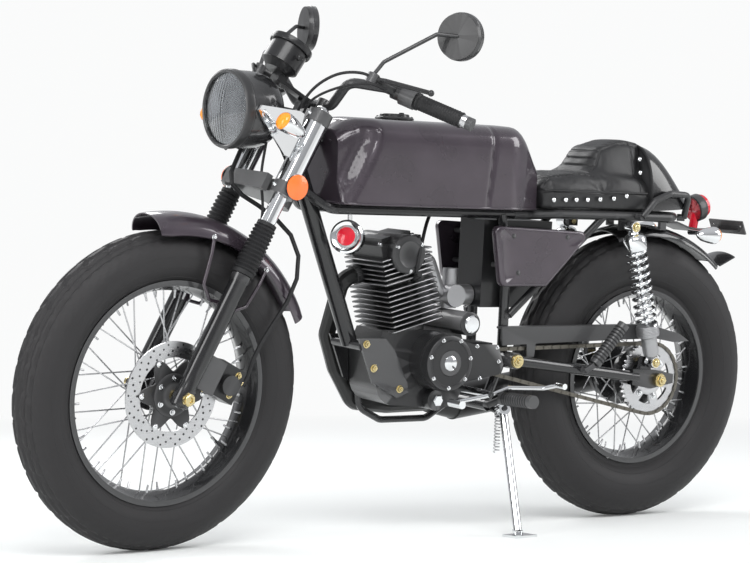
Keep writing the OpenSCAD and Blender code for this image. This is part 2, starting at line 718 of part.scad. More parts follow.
module clamp_plate(z, extra) {
  translate([-fork_offset, 0, z]) cylinder(h = clamp_t, r = 30);
  both_sides() {
    translate([0, fork_y, z]) cylinder(h = clamp_t, r = 27);
    translate([0, 0, z]) linear_extrude(clamp_t)
      polygon([[-fork_offset - 24, 0], [-fork_offset + 10, 32], [-20, fork_y + 10], [20, fork_y - 8], [extra, 0]]);
  }
}
module fork_clamps() color([0.1, 0.1, 0.11]) steered()
  difference() {
    union() {
      clamp_plate(lower_clamp_z, 20);
      clamp_plate(upper_clamp_z, 6);
      translate([-fork_offset, 0, lower_clamp_z]) cylinder(h = upper_clamp_z - lower_clamp_z + clamp_t + 8, r = stem_r);
      translate([30, -74, lower_clamp_z - 6]) cube([16, 148, 36]);
      translate([0, -20, lower_clamp_z + 4]) cube([36, 40, 20]);
      both_sides() translate([bar_mid[0], 34, upper_clamp_z + clamp_t - 1]) cylinder(h = bar_rise + 12, r = 16);
    }
    both_sides() translate([0, fork_y, 400]) cylinder(h = 400, r = stanchion_r + run_gap);
    translate(bar_mid) across(bar_r + run_gap, -80, 80);
  }

module front_axle() color([0.75, 0.65, 0.4]) steered()
  difference() {
    union() {
      across(front_axle_r, -fork_y - slider_r - 8, fork_y + slider_r + 8);
      both_sides() across(13, fork_y + slider_r + seat_gap, fork_y + slider_r + 8);
      across(13, disc_y - disc_t/2 + seat_gap, fork_y - slider_r - 0.2);
      across(13, -fork_y + slider_r + 0.2, -hub_half - seat_gap);
    }
    across(5, -200, 200);
  }

// Handlebar: points in the fork's own frame, left half
bar_rise = 34;
bar_z = upper_clamp_z + clamp_t + bar_rise;
bar_mid = [-34, 0, bar_z];
bar_points = [
  [-34, 62, bar_z],
  [-6, 120, bar_z + 48],
  [-56, 184, bar_z + 66],
  [-165, bar_half, bar_z + 54]
];
grip_dir = unit(bar_points[2] - bar_points[3]);
bar_end = bar_points[3] - 8*grip_dir;
grip_out = bar_end + grip_dir*26;
grip_in = grip_out + grip_dir*grip_len;

module handlebar() color([0.08, 0.08, 0.08]) steered() {
  union() {
    pipe([for (s = [1, -1], q = s > 0 ? flip(bar_points) : bar_points) [q[0], s*q[1], q[2]]],
      bar_r, 34);
    both_sides() rod(grip_out - grip_dir*seat_gap, bar_end, 14);
  }
}

module grips() color([0.06, 0.06, 0.06]) steered()
  both_sides() difference() {
    union() {
      rod(grip_in, grip_out, grip_r);
      rod(grip_in, grip_in - grip_dir*5, grip_r + 4);
    }
    rod(grip_in + grip_dir*10, grip_out - grip_dir*10, bar_r + run_gap);
  }

control_at = grip_in + grip_dir*4;
perch = [2, 203, 770];
module hand_controls() color([0.08, 0.08, 0.08]) steered()
  both_sides() difference() {
    union() {
      rod(control_at, control_at + grip_dir*34, 21);
      rod(control_at + grip_dir*30, control_at + grip_dir*56, 16);
      rod(control_at + grip_dir*47, perch, 11);
      translate(perch - [0, 0, 11]) cylinder(h = 22, r = 13);
      pipe([perch, [-14, 226, 776], [-78, 304, 788]], 5, 20);
      translate([-78, 304, 788]) sphere(7);
    }
    rod(control_at - grip_dir*30, control_at + grip_dir*90, bar_r + run_gap);
  }

lamp_c = [112, 0, 617];
module lamp_frame() translate(lamp_c) rotate([0, rake, 0]) children();

module headlight() color([0.07, 0.07, 0.07]) steered()
  lamp_frame() rotate([0, 90, 0])
    difference() {
      union() {
        translate([0, 0, headlight_depth/2 - 22]) cylinder(h = 22, r = headlight_r);
        translate([0, 0, -headlight_depth/2 + 56]) cylinder(h = headlight_depth - 78, r = headlight_r - 2);
        translate([0, 0, -headlight_depth/2]) cylinder(h = 56, r1 = 46, r2 = headlight_r - 2);
      }
      translate([0, 0, headlight_depth/2 - 6]) cylinder(h = 20, r = headlight_r - 5);
    }

module headlight_lens() color([0.85, 0.9, 0.92]) steered()
  lamp_frame() rotate([0, 90, 0])
    translate([0, 0, headlight_depth/2 - 6 + seat_gap])
      intersection() {
        cylinder(h = 16, r = headlight_r - 5 - seat_gap);
        translate([0, 0, -192]) sphere(208, $fn = 240);
      }

module front_indicators() color("silver") steered()
  both_sides() {
    translate([104, 140, 600]) rotate([0, -90 + 10, 0]) bullet(86, 22);
    translate([62, 0, 606]) across(7, fork_y + 3.3 + seat_gap, 126);
  }

module fork_reflectors() color([0.9, 0.35, 0.05]) steered()
  both_sides() {
    translate([-6, 0, 505]) across(27, fork_y + 30, fork_y + 36);
    translate([-6, 0, 505]) across(8, fork_y + 26.9, fork_y + 31);
  }

mirror_base = [4, 205, 783];
mirror_eye = [-112, 268, 944];
mirror_dir = unit([0.85, 0.36, -0.42]);
module mirrors() color([0.09, 0.09, 0.1]) steered()
  both_sides() {
    eye = mirror_eye;
    pipe([mirror_base, [2, 214, 812], [-66, 250, 922], eye + mirror_dir*12], 4.5, 14);
    rod(eye + mirror_dir*14, eye, 49, 52);
  }

module speedometer() color([0.1, 0.1, 0.1]) steered()
  union() {
    translate([92, 0, 738]) rotate([0, -6, 0]) {
      cylinder(h = 56, r = 43);
      translate([0, 0, 46]) cylinder(h = 12, r = 48);
      translate([0, 0, -14]) cylinder(h = 14.5, r1 = 26, r2 = 40);
    }
    translate([-14, -14, upper_clamp_z + clamp_t + seat_gap]) cube([16, 28, 34]);
    translate([-14, -13, 706]) cube([92, 26, 8]);
    translate([66, -14, 705]) cube([24, 28, 34]);
  }

front_fender_r = front_r + 40;
stay_r = 4;
stay_y = 69;
leg_side_y = fork_y - slider_r - stay_r - seat_gap;
module front_fender() color([0.2, 0.18, 0.2]) steered()
  rotate([0, rake, 0]) {
    rotate([90, 0, 0]) rotate([0, 0, 80]) rotate_extrude(angle = 75, $fn = 96) {
      translate([front_fender_r - 62, 0]) difference() {
        circle(62, $fn = 64);
        circle(59, $fn = 64);
        translate([-80, -80]) square([80 + 16, 160]);
      }
    }
    both_sides() {
      pipe([[-71, 60, 333], [-63, stay_y, 298], [-48, stay_y, 236], [-70, leg_side_y, 200],
        [-96, leg_side_y, 196]], stay_r, 8);
      pipe([[-212, 60, 266], [-190, stay_y, 232], [-160, stay_y, 186], [-130, leg_side_y, 176],
        [-98, leg_side_y, 184]], stay_r, 8);
    }
  }

module brake_caliper() color([0.06, 0.06, 0.06]) steered()
  difference() {
    union() {
      translate([-130, 33, 40]) cube([70, 46, 76]);
      translate([-66, fork_y - 10, 34]) cube([62, 12, 76]);
      translate([-98, 0, 74]) across(22, 60, 92);
    }
    across(disc_r + 5, disc_y - disc_t/2 - 5, disc_y + disc_t/2 + 5);
    translate([0, fork_y, -50]) cylinder(h = 200, r = slider_r + 0.2);
  }

hose_points = [
  [-132, 70, 88], [-138, 71, 92], [-140, 72, 110], [-134, 72, 150], [-134, 72, 190], [-140, 72, 235],
  [-148, 73, 295], [-144, 73, 350], [-128, 64, 396], [-100, 44, 430], [-66, 22, 446], [-20, 4, 454],
  [24, -8, 456], [56, -16, 466], [66, -24, 490], [62, -34, 540], [50, -46, 600], [38, -58, 660],
  [28, -76, 710], [16, -110, 752], [8, -150, 776], [2, -184, 784]
];
module brake_hose() color([0.05, 0.05, 0.05]) steered() swept(hose_points, 5);

// ---------- Wheels ----------
module front_wheel_place() steered() rotate([0, rake, 0]) children();
module rear_wheel_place() stance() translate([0, 0, rear_r]) children();

module front_tyre() color([0.05, 0.05, 0.05]) front_wheel_place()
  tyre(front_r, front_tyre_w, front_rim_r, front_rim_w);
module front_rim() color([0.07, 0.07, 0.07]) front_wheel_place() rim(front_rim_r, front_rim_w);
module front_spokes() color("silver") front_wheel_place()
  spokes(hub_flange_r - 5, 30, front_rim_r - 22);
module front_hub() color([0.08, 0.08, 0.08]) front_wheel_place()
  difference() {
    union() {
      across(26, -hub_half, hub_half);
      both_sides() across(hub_flange_r, 24, 36);
      across(42, 36, disc_y - disc_t/2);
    }
    across(front_axle_r + run_gap, -100, 100);
  }
module brake_disc() color("silver") front_wheel_place()
  ring(disc_r, 27, disc_y - disc_t/2 + 0.1, disc_y + disc_t/2);

module rear_tyre() color([0.05, 0.05, 0.05]) rear_wheel_place()
  tyre(rear_r, rear_tyre_w, rear_rim_r, rear_rim_w);
module rear_rim() color([0.07, 0.07, 0.07]) rear_wheel_place() rim(rear_rim_r, rear_rim_w);
module rear_spokes() color("silver") rear_wheel_place()
  spokes(hub_flange_r + 22, 34, rear_rim_r - 22);
module rear_hub() color([0.08, 0.08, 0.08]) rear_wheel_place()
  difference() {
    union() {
      across(30, -hub_half, hub_half);
      both_sides() across(hub_flange_r + 28, 28, 40);
      across(62, -56, -30);
    }
    across(rear_axle_r + run_gap, -100, 100);
    across(16, -70, -44);
  }
module rear_sprocket() color("silver") rear_wheel_place()
  union() {
    ring(sprocket_r - 10.5, 30, chain_y - 4, chain_y + 4);
    ring(52, 30.3, 40.2, chain_y - 4);
  }

// ---------- Side stand ----------
foot_t = 5;
foot_at = stand_pivot + stand_down;
function floor_z(x, y) = (rear_low + y*sin(lean) + x*tan(pitch))/cos(lean);
foot_low = floor_z(foot_at[0], foot_at[1]);
module side_stand() color("silver") stance()
  difference() {
    union() {
      rod(stand_pivot, [foot_at[0], foot_at[1], foot_low + 12], stand_r);
      at_stand() translate([0, 0, -10]) cylinder(h = 20, r = 14);
      translate([foot_at[0], foot_at[1], foot_low]) rotate([lean, -pitch, 0])
        translate([-30, -16, 0]) cube([60, 50, foot_t]);
      translate([foot_at[0], foot_at[1], foot_low + 2]) cylinder(h = 12, r = stand_r + 2);
    }
    at_stand() translate([0, 0, -20]) cylinder(h = 40, r = stand_pin_r + run_gap);
  }

main_frame();
seat_frame();
swingarm();
rear_axle();
engine_case();
engine_barrel();
engine_head();
exhaust();
carburettor();
air_box();
fuel_tank();
fuel_cap();
seat();
seat_cowl();
side_covers();
rear_fender();
grab_rail();
rear_shocks();
tail_light();
rear_indicators();
plate_bracket();
foot_pegs();
foot_levers();
horn();
chain_guard();
drive_chain();
rear_brake_plate();
fork_tubes();
fork_sliders();
fork_gaiters();
fork_clamps();
front_axle();
handlebar();
grips();
hand_controls();
headlight();
headlight_lens();
front_indicators();
fork_reflectors();
mirrors();
speedometer();
front_fender();
brake_caliper();
brake_hose();
front_tyre();
front_rim();
front_spokes();
front_hub();
brake_disc();
rear_tyre();
rear_rim();
rear_spokes();
rear_hub();
rear_sprocket();
side_stand();
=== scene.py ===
import math

import bmesh
import bpy
import numpy as np
from mathutils import Matrix, Vector, noise


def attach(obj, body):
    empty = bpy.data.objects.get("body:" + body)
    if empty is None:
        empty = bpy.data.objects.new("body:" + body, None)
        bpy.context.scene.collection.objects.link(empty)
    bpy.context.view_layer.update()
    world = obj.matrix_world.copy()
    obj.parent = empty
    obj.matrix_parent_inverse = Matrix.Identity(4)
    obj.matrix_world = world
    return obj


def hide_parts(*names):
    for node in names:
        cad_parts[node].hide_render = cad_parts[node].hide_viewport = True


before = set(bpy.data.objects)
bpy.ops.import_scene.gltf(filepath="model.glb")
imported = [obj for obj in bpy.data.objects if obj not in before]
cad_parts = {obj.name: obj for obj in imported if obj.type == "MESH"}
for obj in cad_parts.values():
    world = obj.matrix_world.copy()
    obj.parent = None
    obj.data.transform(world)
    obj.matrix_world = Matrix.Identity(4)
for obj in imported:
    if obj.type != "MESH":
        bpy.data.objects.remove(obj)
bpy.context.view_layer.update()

# ---------- Camera, at the photograph's viewing angle ----------
CAM_AT = Vector((2.7525, 3.8350, 0.5287))
CAM_AZ = math.radians(34.33)
CAM_UP = math.radians(0.53)
look = Vector((-math.sin(CAM_AZ) * math.cos(CAM_UP), -math.cos(CAM_AZ) * math.cos(CAM_UP),
    math.sin(CAM_UP)))
right = look.cross(Vector((0, 0, 1))).normalized()
up = right.cross(look)
cam_data = bpy.data.cameras.new("camera")
cam_data.sensor_width = 36
cam_data.lens = 99.73
camera = bpy.data.objects.new("camera", cam_data)
camera.matrix_world = Matrix.Translation(CAM_AT) @ Matrix((right, up, -look)).transposed().to_4x4()
bpy.context.scene.collection.objects.link(camera)
bpy.context.scene.camera = camera

# ---------- Frames of reference, in millimetres, as in the part's source ----------
WHEELBASE, RAKE, FORK_OFFSET, LEAN, STEER = 1307, 27, 61.5, 5.26, 5.56
FRONT_R, FRONT_W, REAR_R, REAR_W = 341.5, 115, 349, 135
MM = 0.001


def turn(deg, axis):
    return Matrix.Rotation(math.radians(deg), 4, axis)


def shift(x, y, z):
    return Matrix.Translation(Vector((x, y, z)))


REAR_LOW, PITCH = -0.284246, 0.033786
BOX_MIDDLE = (-4.175, 78.285)
BIKE = Matrix.Scale(MM, 4) @ shift(-WHEELBASE / 2 - BOX_MIDDLE[0], -BOX_MIDDLE[1],
    -REAR_LOW) @ turn(PITCH, "Y") @ turn(-LEAN, "X")
AXIS_BASE = (
    WHEELBASE - FORK_OFFSET * math.cos(math.radians(RAKE)), 0,
    FRONT_R - FORK_OFFSET * math.sin(math.radians(RAKE)))
FORK = BIKE @ shift(*AXIS_BASE) @ turn(-RAKE, "Y") @ turn(STEER, "Z") @ shift(FORK_OFFSET, 0, 0)
FRONT_WHEEL = FORK @ turn(RAKE, "Y")
REAR_WHEEL = BIKE @ shift(0, 0, REAR_R)

# ---------- Materials ----------


def material(name, color, rough=0.4, metal=0.0, coat=0.0, bump=0.0, scale=900.0, vary=0.1,
             rough_vary=0.06, trans=0.0, glow=0.0, spec=0.35, stretch=(1, 1, 1), wear=0.0):
    """A finish with fine grain in its colour, roughness and surface, and worn edges where asked."""
    m = bpy.data.materials.new(name)
    m.use_nodes = True
    nt = m.node_tree
    n, link = nt.nodes, nt.links
    b = n["Principled BSDF"]
    b.inputs["Metallic"].default_value = metal
    b.inputs["Coat Weight"].default_value = coat
    b.inputs["Coat Roughness"].default_value = 0.05
    b.inputs["Transmission Weight"].default_value = trans
    b.inputs["Specular IOR Level"].default_value = spec
    coords = n.new("ShaderNodeTexCoord")
    mapping = n.new("ShaderNodeMapping")
    mapping.inputs["Scale"].default_value = stretch
    link.new(coords.outputs["Object"], mapping.inputs["Vector"])
    fine = n.new("ShaderNodeTexNoise")
    fine.inputs["Scale"].default_value = scale
    fine.inputs["Detail"].default_value = 3
    broad = n.new("ShaderNodeTexNoise")
    broad.inputs["Scale"].default_value = 14
    broad.inputs["Detail"].default_value = 4
    for t in (fine, broad):
        link.new(mapping.outputs["Vector"], t.inputs["Vector"])
    ramp = n.new("ShaderNodeValToRGB")
    ramp.color_ramp.elements[0].position = 0.3
    ramp.color_ramp.elements[1].position = 0.7
    ramp.color_ramp.elements[0].color = [max(0, c * (1 - vary)) for c in color] + [1]
    ramp.color_ramp.elements[1].color = [min(1, c * (1 + vary)) for c in color] + [1]
    mixed = n.new("ShaderNodeMix")
    mixed.inputs[0].default_value = 0.4
    link.new(fine.outputs["Fac"], mixed.inputs[2])
    link.new(broad.outputs["Fac"], mixed.inputs[3])
    link.new(mixed.outputs[0], ramp.inputs["Fac"])
    color_out = ramp.outputs["Color"]
    if wear:
        geo = n.new("ShaderNodeNewGeometry")
        edge = n.new("ShaderNodeValToRGB")
        edge.color_ramp.elements[0].position = 0.52
        edge.color_ramp.elements[1].position = 0.62
        link.new(geo.outputs["Pointiness"], edge.inputs["Fac"])
        worn = n.new("ShaderNodeMix")
        worn.data_type = "RGBA"
        worn.inputs[7].default_value = [min(1, c * 2 + wear) for c in color] + [1]
        link.new(edge.outputs["Color"], worn.inputs[0])
        link.new(color_out, worn.inputs[6])
        color_out = worn.outputs[2]
    link.new(color_out, b.inputs["Base Color"])
    span = n.new("ShaderNodeMapRange")
    span.inputs["To Min"].default_value = max(0.02, rough - rough_vary)
    span.inputs["To Max"].default_value = min(1, rough + rough_vary)
    link.new(broad.outputs["Fac"], span.inputs["Value"])
    link.new(span.outputs["Result"], b.inputs["Roughness"])
    if bump:
        bm_node = n.new("ShaderNodeBump")
        bm_node.inputs["Strength"].default_value = bump
        bm_node.inputs["Distance"].default_value = 0.0006
        link.new(fine.outputs["Fac"], bm_node.inputs["Height"])
        link.new(bm_node.outputs["Normal"], b.inputs["Normal"])
    if glow:
        b.inputs["Emission Color"].default_value = list(color) + [1]
        b.inputs["Emission Strength"].default_value = glow
    return m


BLACK = material("black_gloss_paint", (0.012, 0.012, 0.013), 0.22, coat=0.6, bump=0.05, wear=0.03)
SATIN = material("black_satin_paint", (0.018, 0.018, 0.019), 0.38, coat=0.2, bump=0.15, wear=0.04)
CAST = material("black_engine_paint", (0.02, 0.02, 0.021), 0.36, coat=0.3, bump=0.35, scale=1400,
    wear=0.12)
PIPE = material("black_exhaust", (0.018, 0.018, 0.018), 0.33, coat=0.15, bump=0.12)
BODY = material("body_paint", (0.052, 0.040, 0.052), 0.28, metal=0.35, coat=1.0, scale=4200,
    vary=0.35, rough_vary=0.03)
LEATHER = material("black_leather", (0.017, 0.017, 0.018), 0.42, bump=0.5, scale=700, vary=0.2,
    spec=0.45)
CHROME = material("chrome", (0.78, 0.79, 0.80), 0.09, metal=1.0, vary=0.03, rough_vary=0.03)
STEEL = material("brushed_steel", (0.55, 0.55, 0.56), 0.28, metal=1.0, bump=0.12, stretch=(1, 1, 6))
DARKSTEEL = material("oiled_chain_steel", (0.16, 0.15, 0.13), 0.4, metal=0.9, bump=0.2, vary=0.3)
GOLD = material("zinc_bolt", (0.62, 0.52, 0.28), 0.25, metal=1.0, vary=0.15)
ALLOY = material("cast_alloy", (0.42, 0.42, 0.43), 0.42, metal=0.9, bump=0.3, scale=1600)
RUBBER = material("black_rubber", (0.014, 0.014, 0.015), 0.55, bump=0.3, scale=1200)
TYRE = material("tyre_rubber", (0.021, 0.020, 0.021), 0.58, bump=0.25, scale=1500, vary=0.2,
    rough_vary=0.1)
PLASTIC = material("black_plastic", (0.016, 0.016, 0.017), 0.3, bump=0.06, coat=0.2)
AMBER = material("amber_lens", (0.95, 0.30, 0.02), 0.16, coat=0.5, glow=0.12, vary=0.12)
# The red lens glow is also used on the horn's middle, which is no lamp; there it is a painted glow.
RED = material("red_lens", (0.62, 0.012, 0.03), 0.16, coat=0.6, glow=0.06, vary=0.15)
# Painted glow: the orange fork reflectors get an emission glow, though they are no lamp.
ORANGE_PAINTED_GLOW = material("orange_reflector_painted_glow", (0.88, 0.17, 0.03), 0.2, coat=0.6, glow=0.1, bump=0.6, scale=900)
GLASS = material("lamp_glass", (0.93, 0.95, 0.96), 0.04, trans=1.0, vary=0.02, rough_vary=0.01)
SILVER_BOWL = material("lamp_reflector", (0.85, 0.85, 0.86), 0.14, metal=1.0, vary=0.03)
MIRROR = material("mirror_glass", (0.85, 0.86, 0.88), 0.03, metal=1.0, vary=0.01, rough_vary=0.01)
IVORY = material("pale_connector", (0.78, 0.76, 0.68), 0.45)
DIAL = material("dial_face", (0.02, 0.02, 0.022), 0.5)
BRIGHT = material("machined_fin_edge", (0.5, 0.5, 0.51), 0.32, metal=1.0, bump=0.1)

# ---------- Shapes ----------


def axes_from(axis):
    w = Vector(axis).normalized()
    u = w.cross(Vector((0, 0, 1)) if abs(w.z) < 0.9 else Vector((1, 0, 0))).normalized()
    return u, w.cross(u), w


def rounded_path(points, bend, steps=6):
    """The points with each corner turned into an arc."""
    pts = [Vector(p) for p in points]
    out = [pts[0]]
    for i in range(1, len(pts) - 1):
        a = (pts[i] - pts[i - 1]).normalized()
        b = (pts[i + 1] - pts[i]).normalized()
        angle = a.angle(b)
        if angle < 0.01:
            out.append(pts[i])
            continue
        reach = min(bend * math.tan(angle / 2), 0.49 * (pts[i] - pts[i - 1]).length,
                    0.49 * (pts[i + 1] - pts[i]).length)
        radius = reach / math.tan(angle / 2)
        n = (b - a.dot(b) * a).normalized()
        c = pts[i] - a * reach + n * radius
        for k in range(steps + 1):
            t = angle * k / steps
            out.append(c + radius * (math.sin(t) * a - math.cos(t) * n))
    out.append(pts[-1])
    return out


def smooth_path(points, per=8):
    """A smooth curve through all the points."""
    p = [Vector(q) for q in points]
    p = [2 * p[0] - p[1]] + p + [2 * p[-1] - p[-2]]
    out = []
    for i in range(1, len(p) - 2):
        for k in range(per):
            t = k / per
            a, b, c, d = p[i - 1], p[i], p[i + 1], p[i + 2]
            out.append(0.5 * (2 * b + (c - a) * t + (2 * a - 5 * b + 4 * c - d) * t * t
                              + (3 * b - a - 3 * c + d) * t ** 3))
    out.append(p[-2])
    return out


class Piece:
    """One visible piece: solids gathered in one mesh, drawn in a frame in millimetres."""

    def __init__(self, name, space):
        self.name, self.space = name, space
        self.verts, self.faces = [], []

    def add(self, verts, faces, mirrored=False):
        for side in ((1, -1) if mirrored else (1,)):
            base = len(self.verts)
            self.verts += [Vector((v[0], v[1] * side, v[2])) for v in verts]
            self.faces += [[base + i for i in (f if side > 0 else f[::-1])] for f in faces]
        return self

    def lathe(self, profile, at=(0, 0, 0), axis=(0, 1, 0), seg=40, both=False):
        """profile: (radius, distance along the axis); radius 0 closes an end in a point."""
        u, v, w = axes_from(axis)
        at = Vector(at)
        verts, faces = [], []
        for r, h in profile:
            for k in range(seg):
                t = 2 * math.pi * k / seg
                verts.append(at + w * h + (u * math.cos(t) + v * math.sin(t)) * max(r, 0.001))
        for i in range(len(profile) - 1):
            for k in range(seg):
                a, b = i * seg + k, i * seg + (k + 1) % seg
                faces.append([a, b, b + seg, a + seg])
        if profile[0] != profile[-1]:
            faces.append(list(range(seg))[::-1])
            faces.append([(len(profile) - 1) * seg + k for k in range(seg)])
        return self.add(verts, faces, both)

    def tube(self, points, r, sides=12, both=False, closed=False):
        """A round bar along the points, open-ended or closed into a loop."""
        pts = [Vector(p) for p in points]
        n = len(pts)
        verts, faces = [], []
        u = None
        for i, p in enumerate(pts):
            ahead = pts[(i + 1) % n] if closed else pts[min(i + 1, n - 1)]
            behind = pts[(i - 1) % n] if closed else pts[max(i - 1, 0)]
            t = (ahead - behind).normalized()
            if u is None:
                u = axes_from(t)[0]
            u = (u - u.dot(t) * t).normalized()
            v = t.cross(u)
            for k in range(sides):
                a = 2 * math.pi * k / sides
                verts.append(p + r * (math.cos(a) * u + math.sin(a) * v))
        last = n if closed else n - 1
        for i in range(last):
            for k in range(sides):
                a, b = i * sides + k, i * sides + (k + 1) % sides
                c, d = ((i + 1) % n) * sides + (k + 1) % sides, ((i + 1) % n) * sides + k
                faces.append([a, b, c, d])
        if not closed:
            faces.append(list(range(sides))[::-1])
            faces.append([(n - 1) * sides + k for k in range(sides)])
        return self.add(verts, faces, both)

    def bolt(self, at, axis, r=7, h=5, both=False, dome=False):
        """A hexagon or domed bolt head on its washer."""
        w = Vector(axis).normalized()
        at = Vector(at)
        self.lathe([(r * 1.3, 0), (r * 1.3, 1.2), (r * 1.15, 1.5)], at, axis, 20, both)
        if dome:
            prof = [(r, 1.2), (r, 1.2 + h * 0.3), (r * 0.85, 1.2 + h * 0.7),
                (r * 0.5, 1.2 + h * 0.95), (0, 1.2 + h)]
            self.lathe(prof, at, axis, 20, both)
        else:
            self.lathe([(r, 1.2), (r, 1 + h * 0.8), (r * 0.88, 1.2 + h)], at, axis, 6, both)
            self.lathe([(r * 0.45, 1 + h), (r * 0.45, 1 + h * 1.35), (r * 0.36, 1.2 + h * 1.5)], at,
                axis, 14, both)
        return self

    def plate(self, outline, y0, y1, inset=1.0, both=False):
        """A flat plate in the x-z plane between two distances from the middle, with eased edges."""
        c = Vector((sum(p[0] for p in outline) / len(outline), 0,
            sum(p[1] for p in outline) / len(outline)))
        n = len(outline)
        verts, faces = [], []
        rows = [(y0, 1), (y0 + inset, 0), (y1 - inset, 0), (y1, 1)]
        for y, pulled in rows:
            for x, z in outline:
                d = Vector((x, 0, z)) - c
                q = c + d * (1 - pulled * inset / max(d.length, 1))
                verts.append(Vector((q.x, y, q.z)))
        for i in range(3):
            for k in range(n):
                a, b = i * n + k, i * n + (k + 1) % n
                faces.append([a, b, b + n, a + n])
        faces.append(list(range(n))[::-1])
        faces.append([3 * n + k for k in range(n)])
        return self.add(verts, faces, both)

    def loft(self, rings, both=False):
        """Rings of as many points each, joined one to the next."""
        n = len(rings[0])
        verts = [Vector(p) for ring in rings for p in ring]
        faces = []
        for i in range(len(rings) - 1):
            for k in range(n):
                a, b = i * n + k, i * n + (k + 1) % n
                faces.append([a, b, b + n, a + n])
        faces.append(list(range(n))[::-1])
        faces.append([(len(rings) - 1) * n + k for k in range(n)])
        return self.add(verts, faces, both)

    def shape(self):
        """The piece as a mesh object, with its faces turned outward."""
        me = bpy.data.meshes.new(self.name)
        me.from_pydata([tuple(self.space @ v) for v in self.verts], [], self.faces)
        bm = bmesh.new()
        bm.from_mesh(me)
        bmesh.ops.recalc_face_normals(bm, faces=bm.faces)
        bm.to_mesh(me)
        bm.free()
        obj = bpy.data.objects.new(self.name, me)
        bpy.context.scene.collection.objects.link(obj)
        return obj

    def done(self, mat, slot, body, replaces=(), sharp=35):
        """Makes the mesh, with its finish, and lets it ride the body."""
        obj = self.shape()
        obj.data.materials.append(mat)
        smooth_shade(obj, sharp)
        if replaces:
            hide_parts(*replaces)
        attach(obj, body)
        return obj


def smooth_shade(obj, sharp=35):
    me = obj.data
    me.polygons.foreach_set("use_smooth", [True] * len(me.polygons))
    me.set_sharp_from_angle(angle=math.radians(sharp))


def arc(cx, cz, r, a1, a2, n):
    """Points round part of a circle, in degrees."""
    return [(cx + r * math.cos(math.radians(a1 + (a2 - a1) * i / n)),
             cz + r * math.sin(math.radians(a1 + (a2 - a1) * i / n))) for i in range(n + 1)]


def step(a, b, x):
    """0 before a, 1 after b, and smooth between."""
    t = min(1, max(0, (x - a) / (b - a)))
    return t * t * (3 - 2 * t)

# ---------- Tank ----------
TANK_REAR, TANK_FRONT, TANK_LOW, TANK_TOP = 381, 931, 749, 940


def tank_half_width(x, z):
    """Half width of the tank at a place along it, before the round of the top edge."""
    t = (z - TANK_LOW) / (TANK_TOP - TANK_LOW)
    rear = step(TANK_REAR - 40, TANK_REAR + 110, x)
    w = 78 + 52 * rear - 7 * t
    panel_front = 932 - 88 * t
    w -= 34 * step(panel_front - 18, panel_front + 26, x)
    w -= 16 * step(860, 932, x)
    groove = 556 - 22 * t
    w -= 5.5 * math.exp(-((x - groove) / 4.5) ** 2)
    w -= 3.5 * step(groove + 6, groove - 6, x)
    return w


def tank_top(x):
    rear = TANK_TOP - 92 * step(TANK_REAR + 92, TANK_REAR - 30, x) ** 1.3
    return rear - 34 * step(868, 950, x) ** 1.5


def tank_ring(x, n=26):
    """Half section from the bottom edge up the side, over the top edge, to the middle."""
    top = tank_top(x)
    out = []
    corner = 44
    for i in range(n):
        t = i / (n - 1)
        if t < 0.55:
            z = TANK_LOW + (top - corner - TANK_LOW) * t / 0.55
            y = tank_half_width(x, z)
        elif t < 0.85:
            a = (t - 0.55) / 0.3 * math.pi / 2
            w = tank_half_width(x, top - corner)
            y = w - corner * (1 - math.cos(a))
            z = top - corner + corner * math.sin(a) * 0.94
        else:
            w = tank_half_width(x, top - corner) - corner
            s = (t - 0.85) / 0.15
            y = w * (1 - s)
            z = top - corner * 0.06 + 2.6 * math.sin(s * math.pi / 2)
        out.append((x, y, z))
    return out


def whole_ring(half):
    """A half section and its mirror image."""
    return half + [(x, -y, z) for x, y, z in half[::-1][1:]]


tank = Piece("tank_shell", BIKE)
xs = [TANK_REAR + (TANK_FRONT - TANK_REAR) * i / 110 for i in range(111)]
rings = [whole_ring(tank_ring(x)) for x in xs]


def pulled(ring, dx, k):
    """A ring drawn in towards its middle, for the rounded ends."""
    zc = sum(p[2] for p in ring) / len(ring)
    return [(p[0] + dx, p[1] * k, zc + (p[2] - zc) * k) for p in ring]


rear_cap = [pulled(rings[0], -d, k) for d, k in ((0.9, 0.90), (0.7, 0.955), (0.3, 0.985))]
front_cap = [pulled(rings[-1], d, k) for d, k in ((0.3, 0.985), (0.7, 0.955), (0.9, 0.90))]
tank.loft(rear_cap + rings + front_cap)
tank.done(BODY, "body_colour", "frame", ["fuel_tank"], sharp=48)

lip = Piece("tank_seam", BIKE)
edge = [(x, tank_half_width(x, TANK_LOW) + 1.2, TANK_LOW + 3.2) for x in xs[::2]]
loop = edge + [(x, -y, z) for x, y, z in edge[::-1]]
lip.tube(loop, 2.6, 8, closed=True)
lip.done(BODY, "body_colour", "frame", sharp=60)

CAP_AT = (735, 0, 940)
cap = Piece("filler_cap", BIKE)
cap.lathe([(44, 0), (44, 3), (41, 5.5), (34, 6.5), (33, 11), (31, 12.6), (0, 13.2)], CAP_AT,
    (0, 0, 1), 64)
cap.lathe([(6, 0), (6, 2.5), (5, 3.4), (0, 3.6)], (716, 0, 952.5), (0, 0, 1), 24)
for k in range(6):
    a = math.radians(60 * k + 20)
    cap.bolt((735 + 38.5 * math.cos(a), 38.5 * math.sin(a), 944.5), (0, 0, 1), 2.6, 2, dome=True)
cap.done(PLASTIC, "black_plastic", "frame", ["fuel_cap"])

# ---------- Seat: a padded leather pad with sewn channels and a humped back ----------
SEAT_LOW, SEAT_REAR, SEAT_FRONT, SEAT_RINGS = 755, 50, 372, 56
SEAM_Y, HUMP_FOOT, HUMP_BASE, RIB, HUMP_RIB = 86, 214, 842, 19.0, 17.0


def seat_top(x):
    """Height of the pad's top at its middle line, without the hump."""
    return 824 + 10 * step(374, 250, x) - 8 * step(150, 60, x) - 16 * step(352, 376, x)


def hump_top(x):
    """How far the hump rises over the pad."""
    return 62 + 28 * step(188, 80, x)


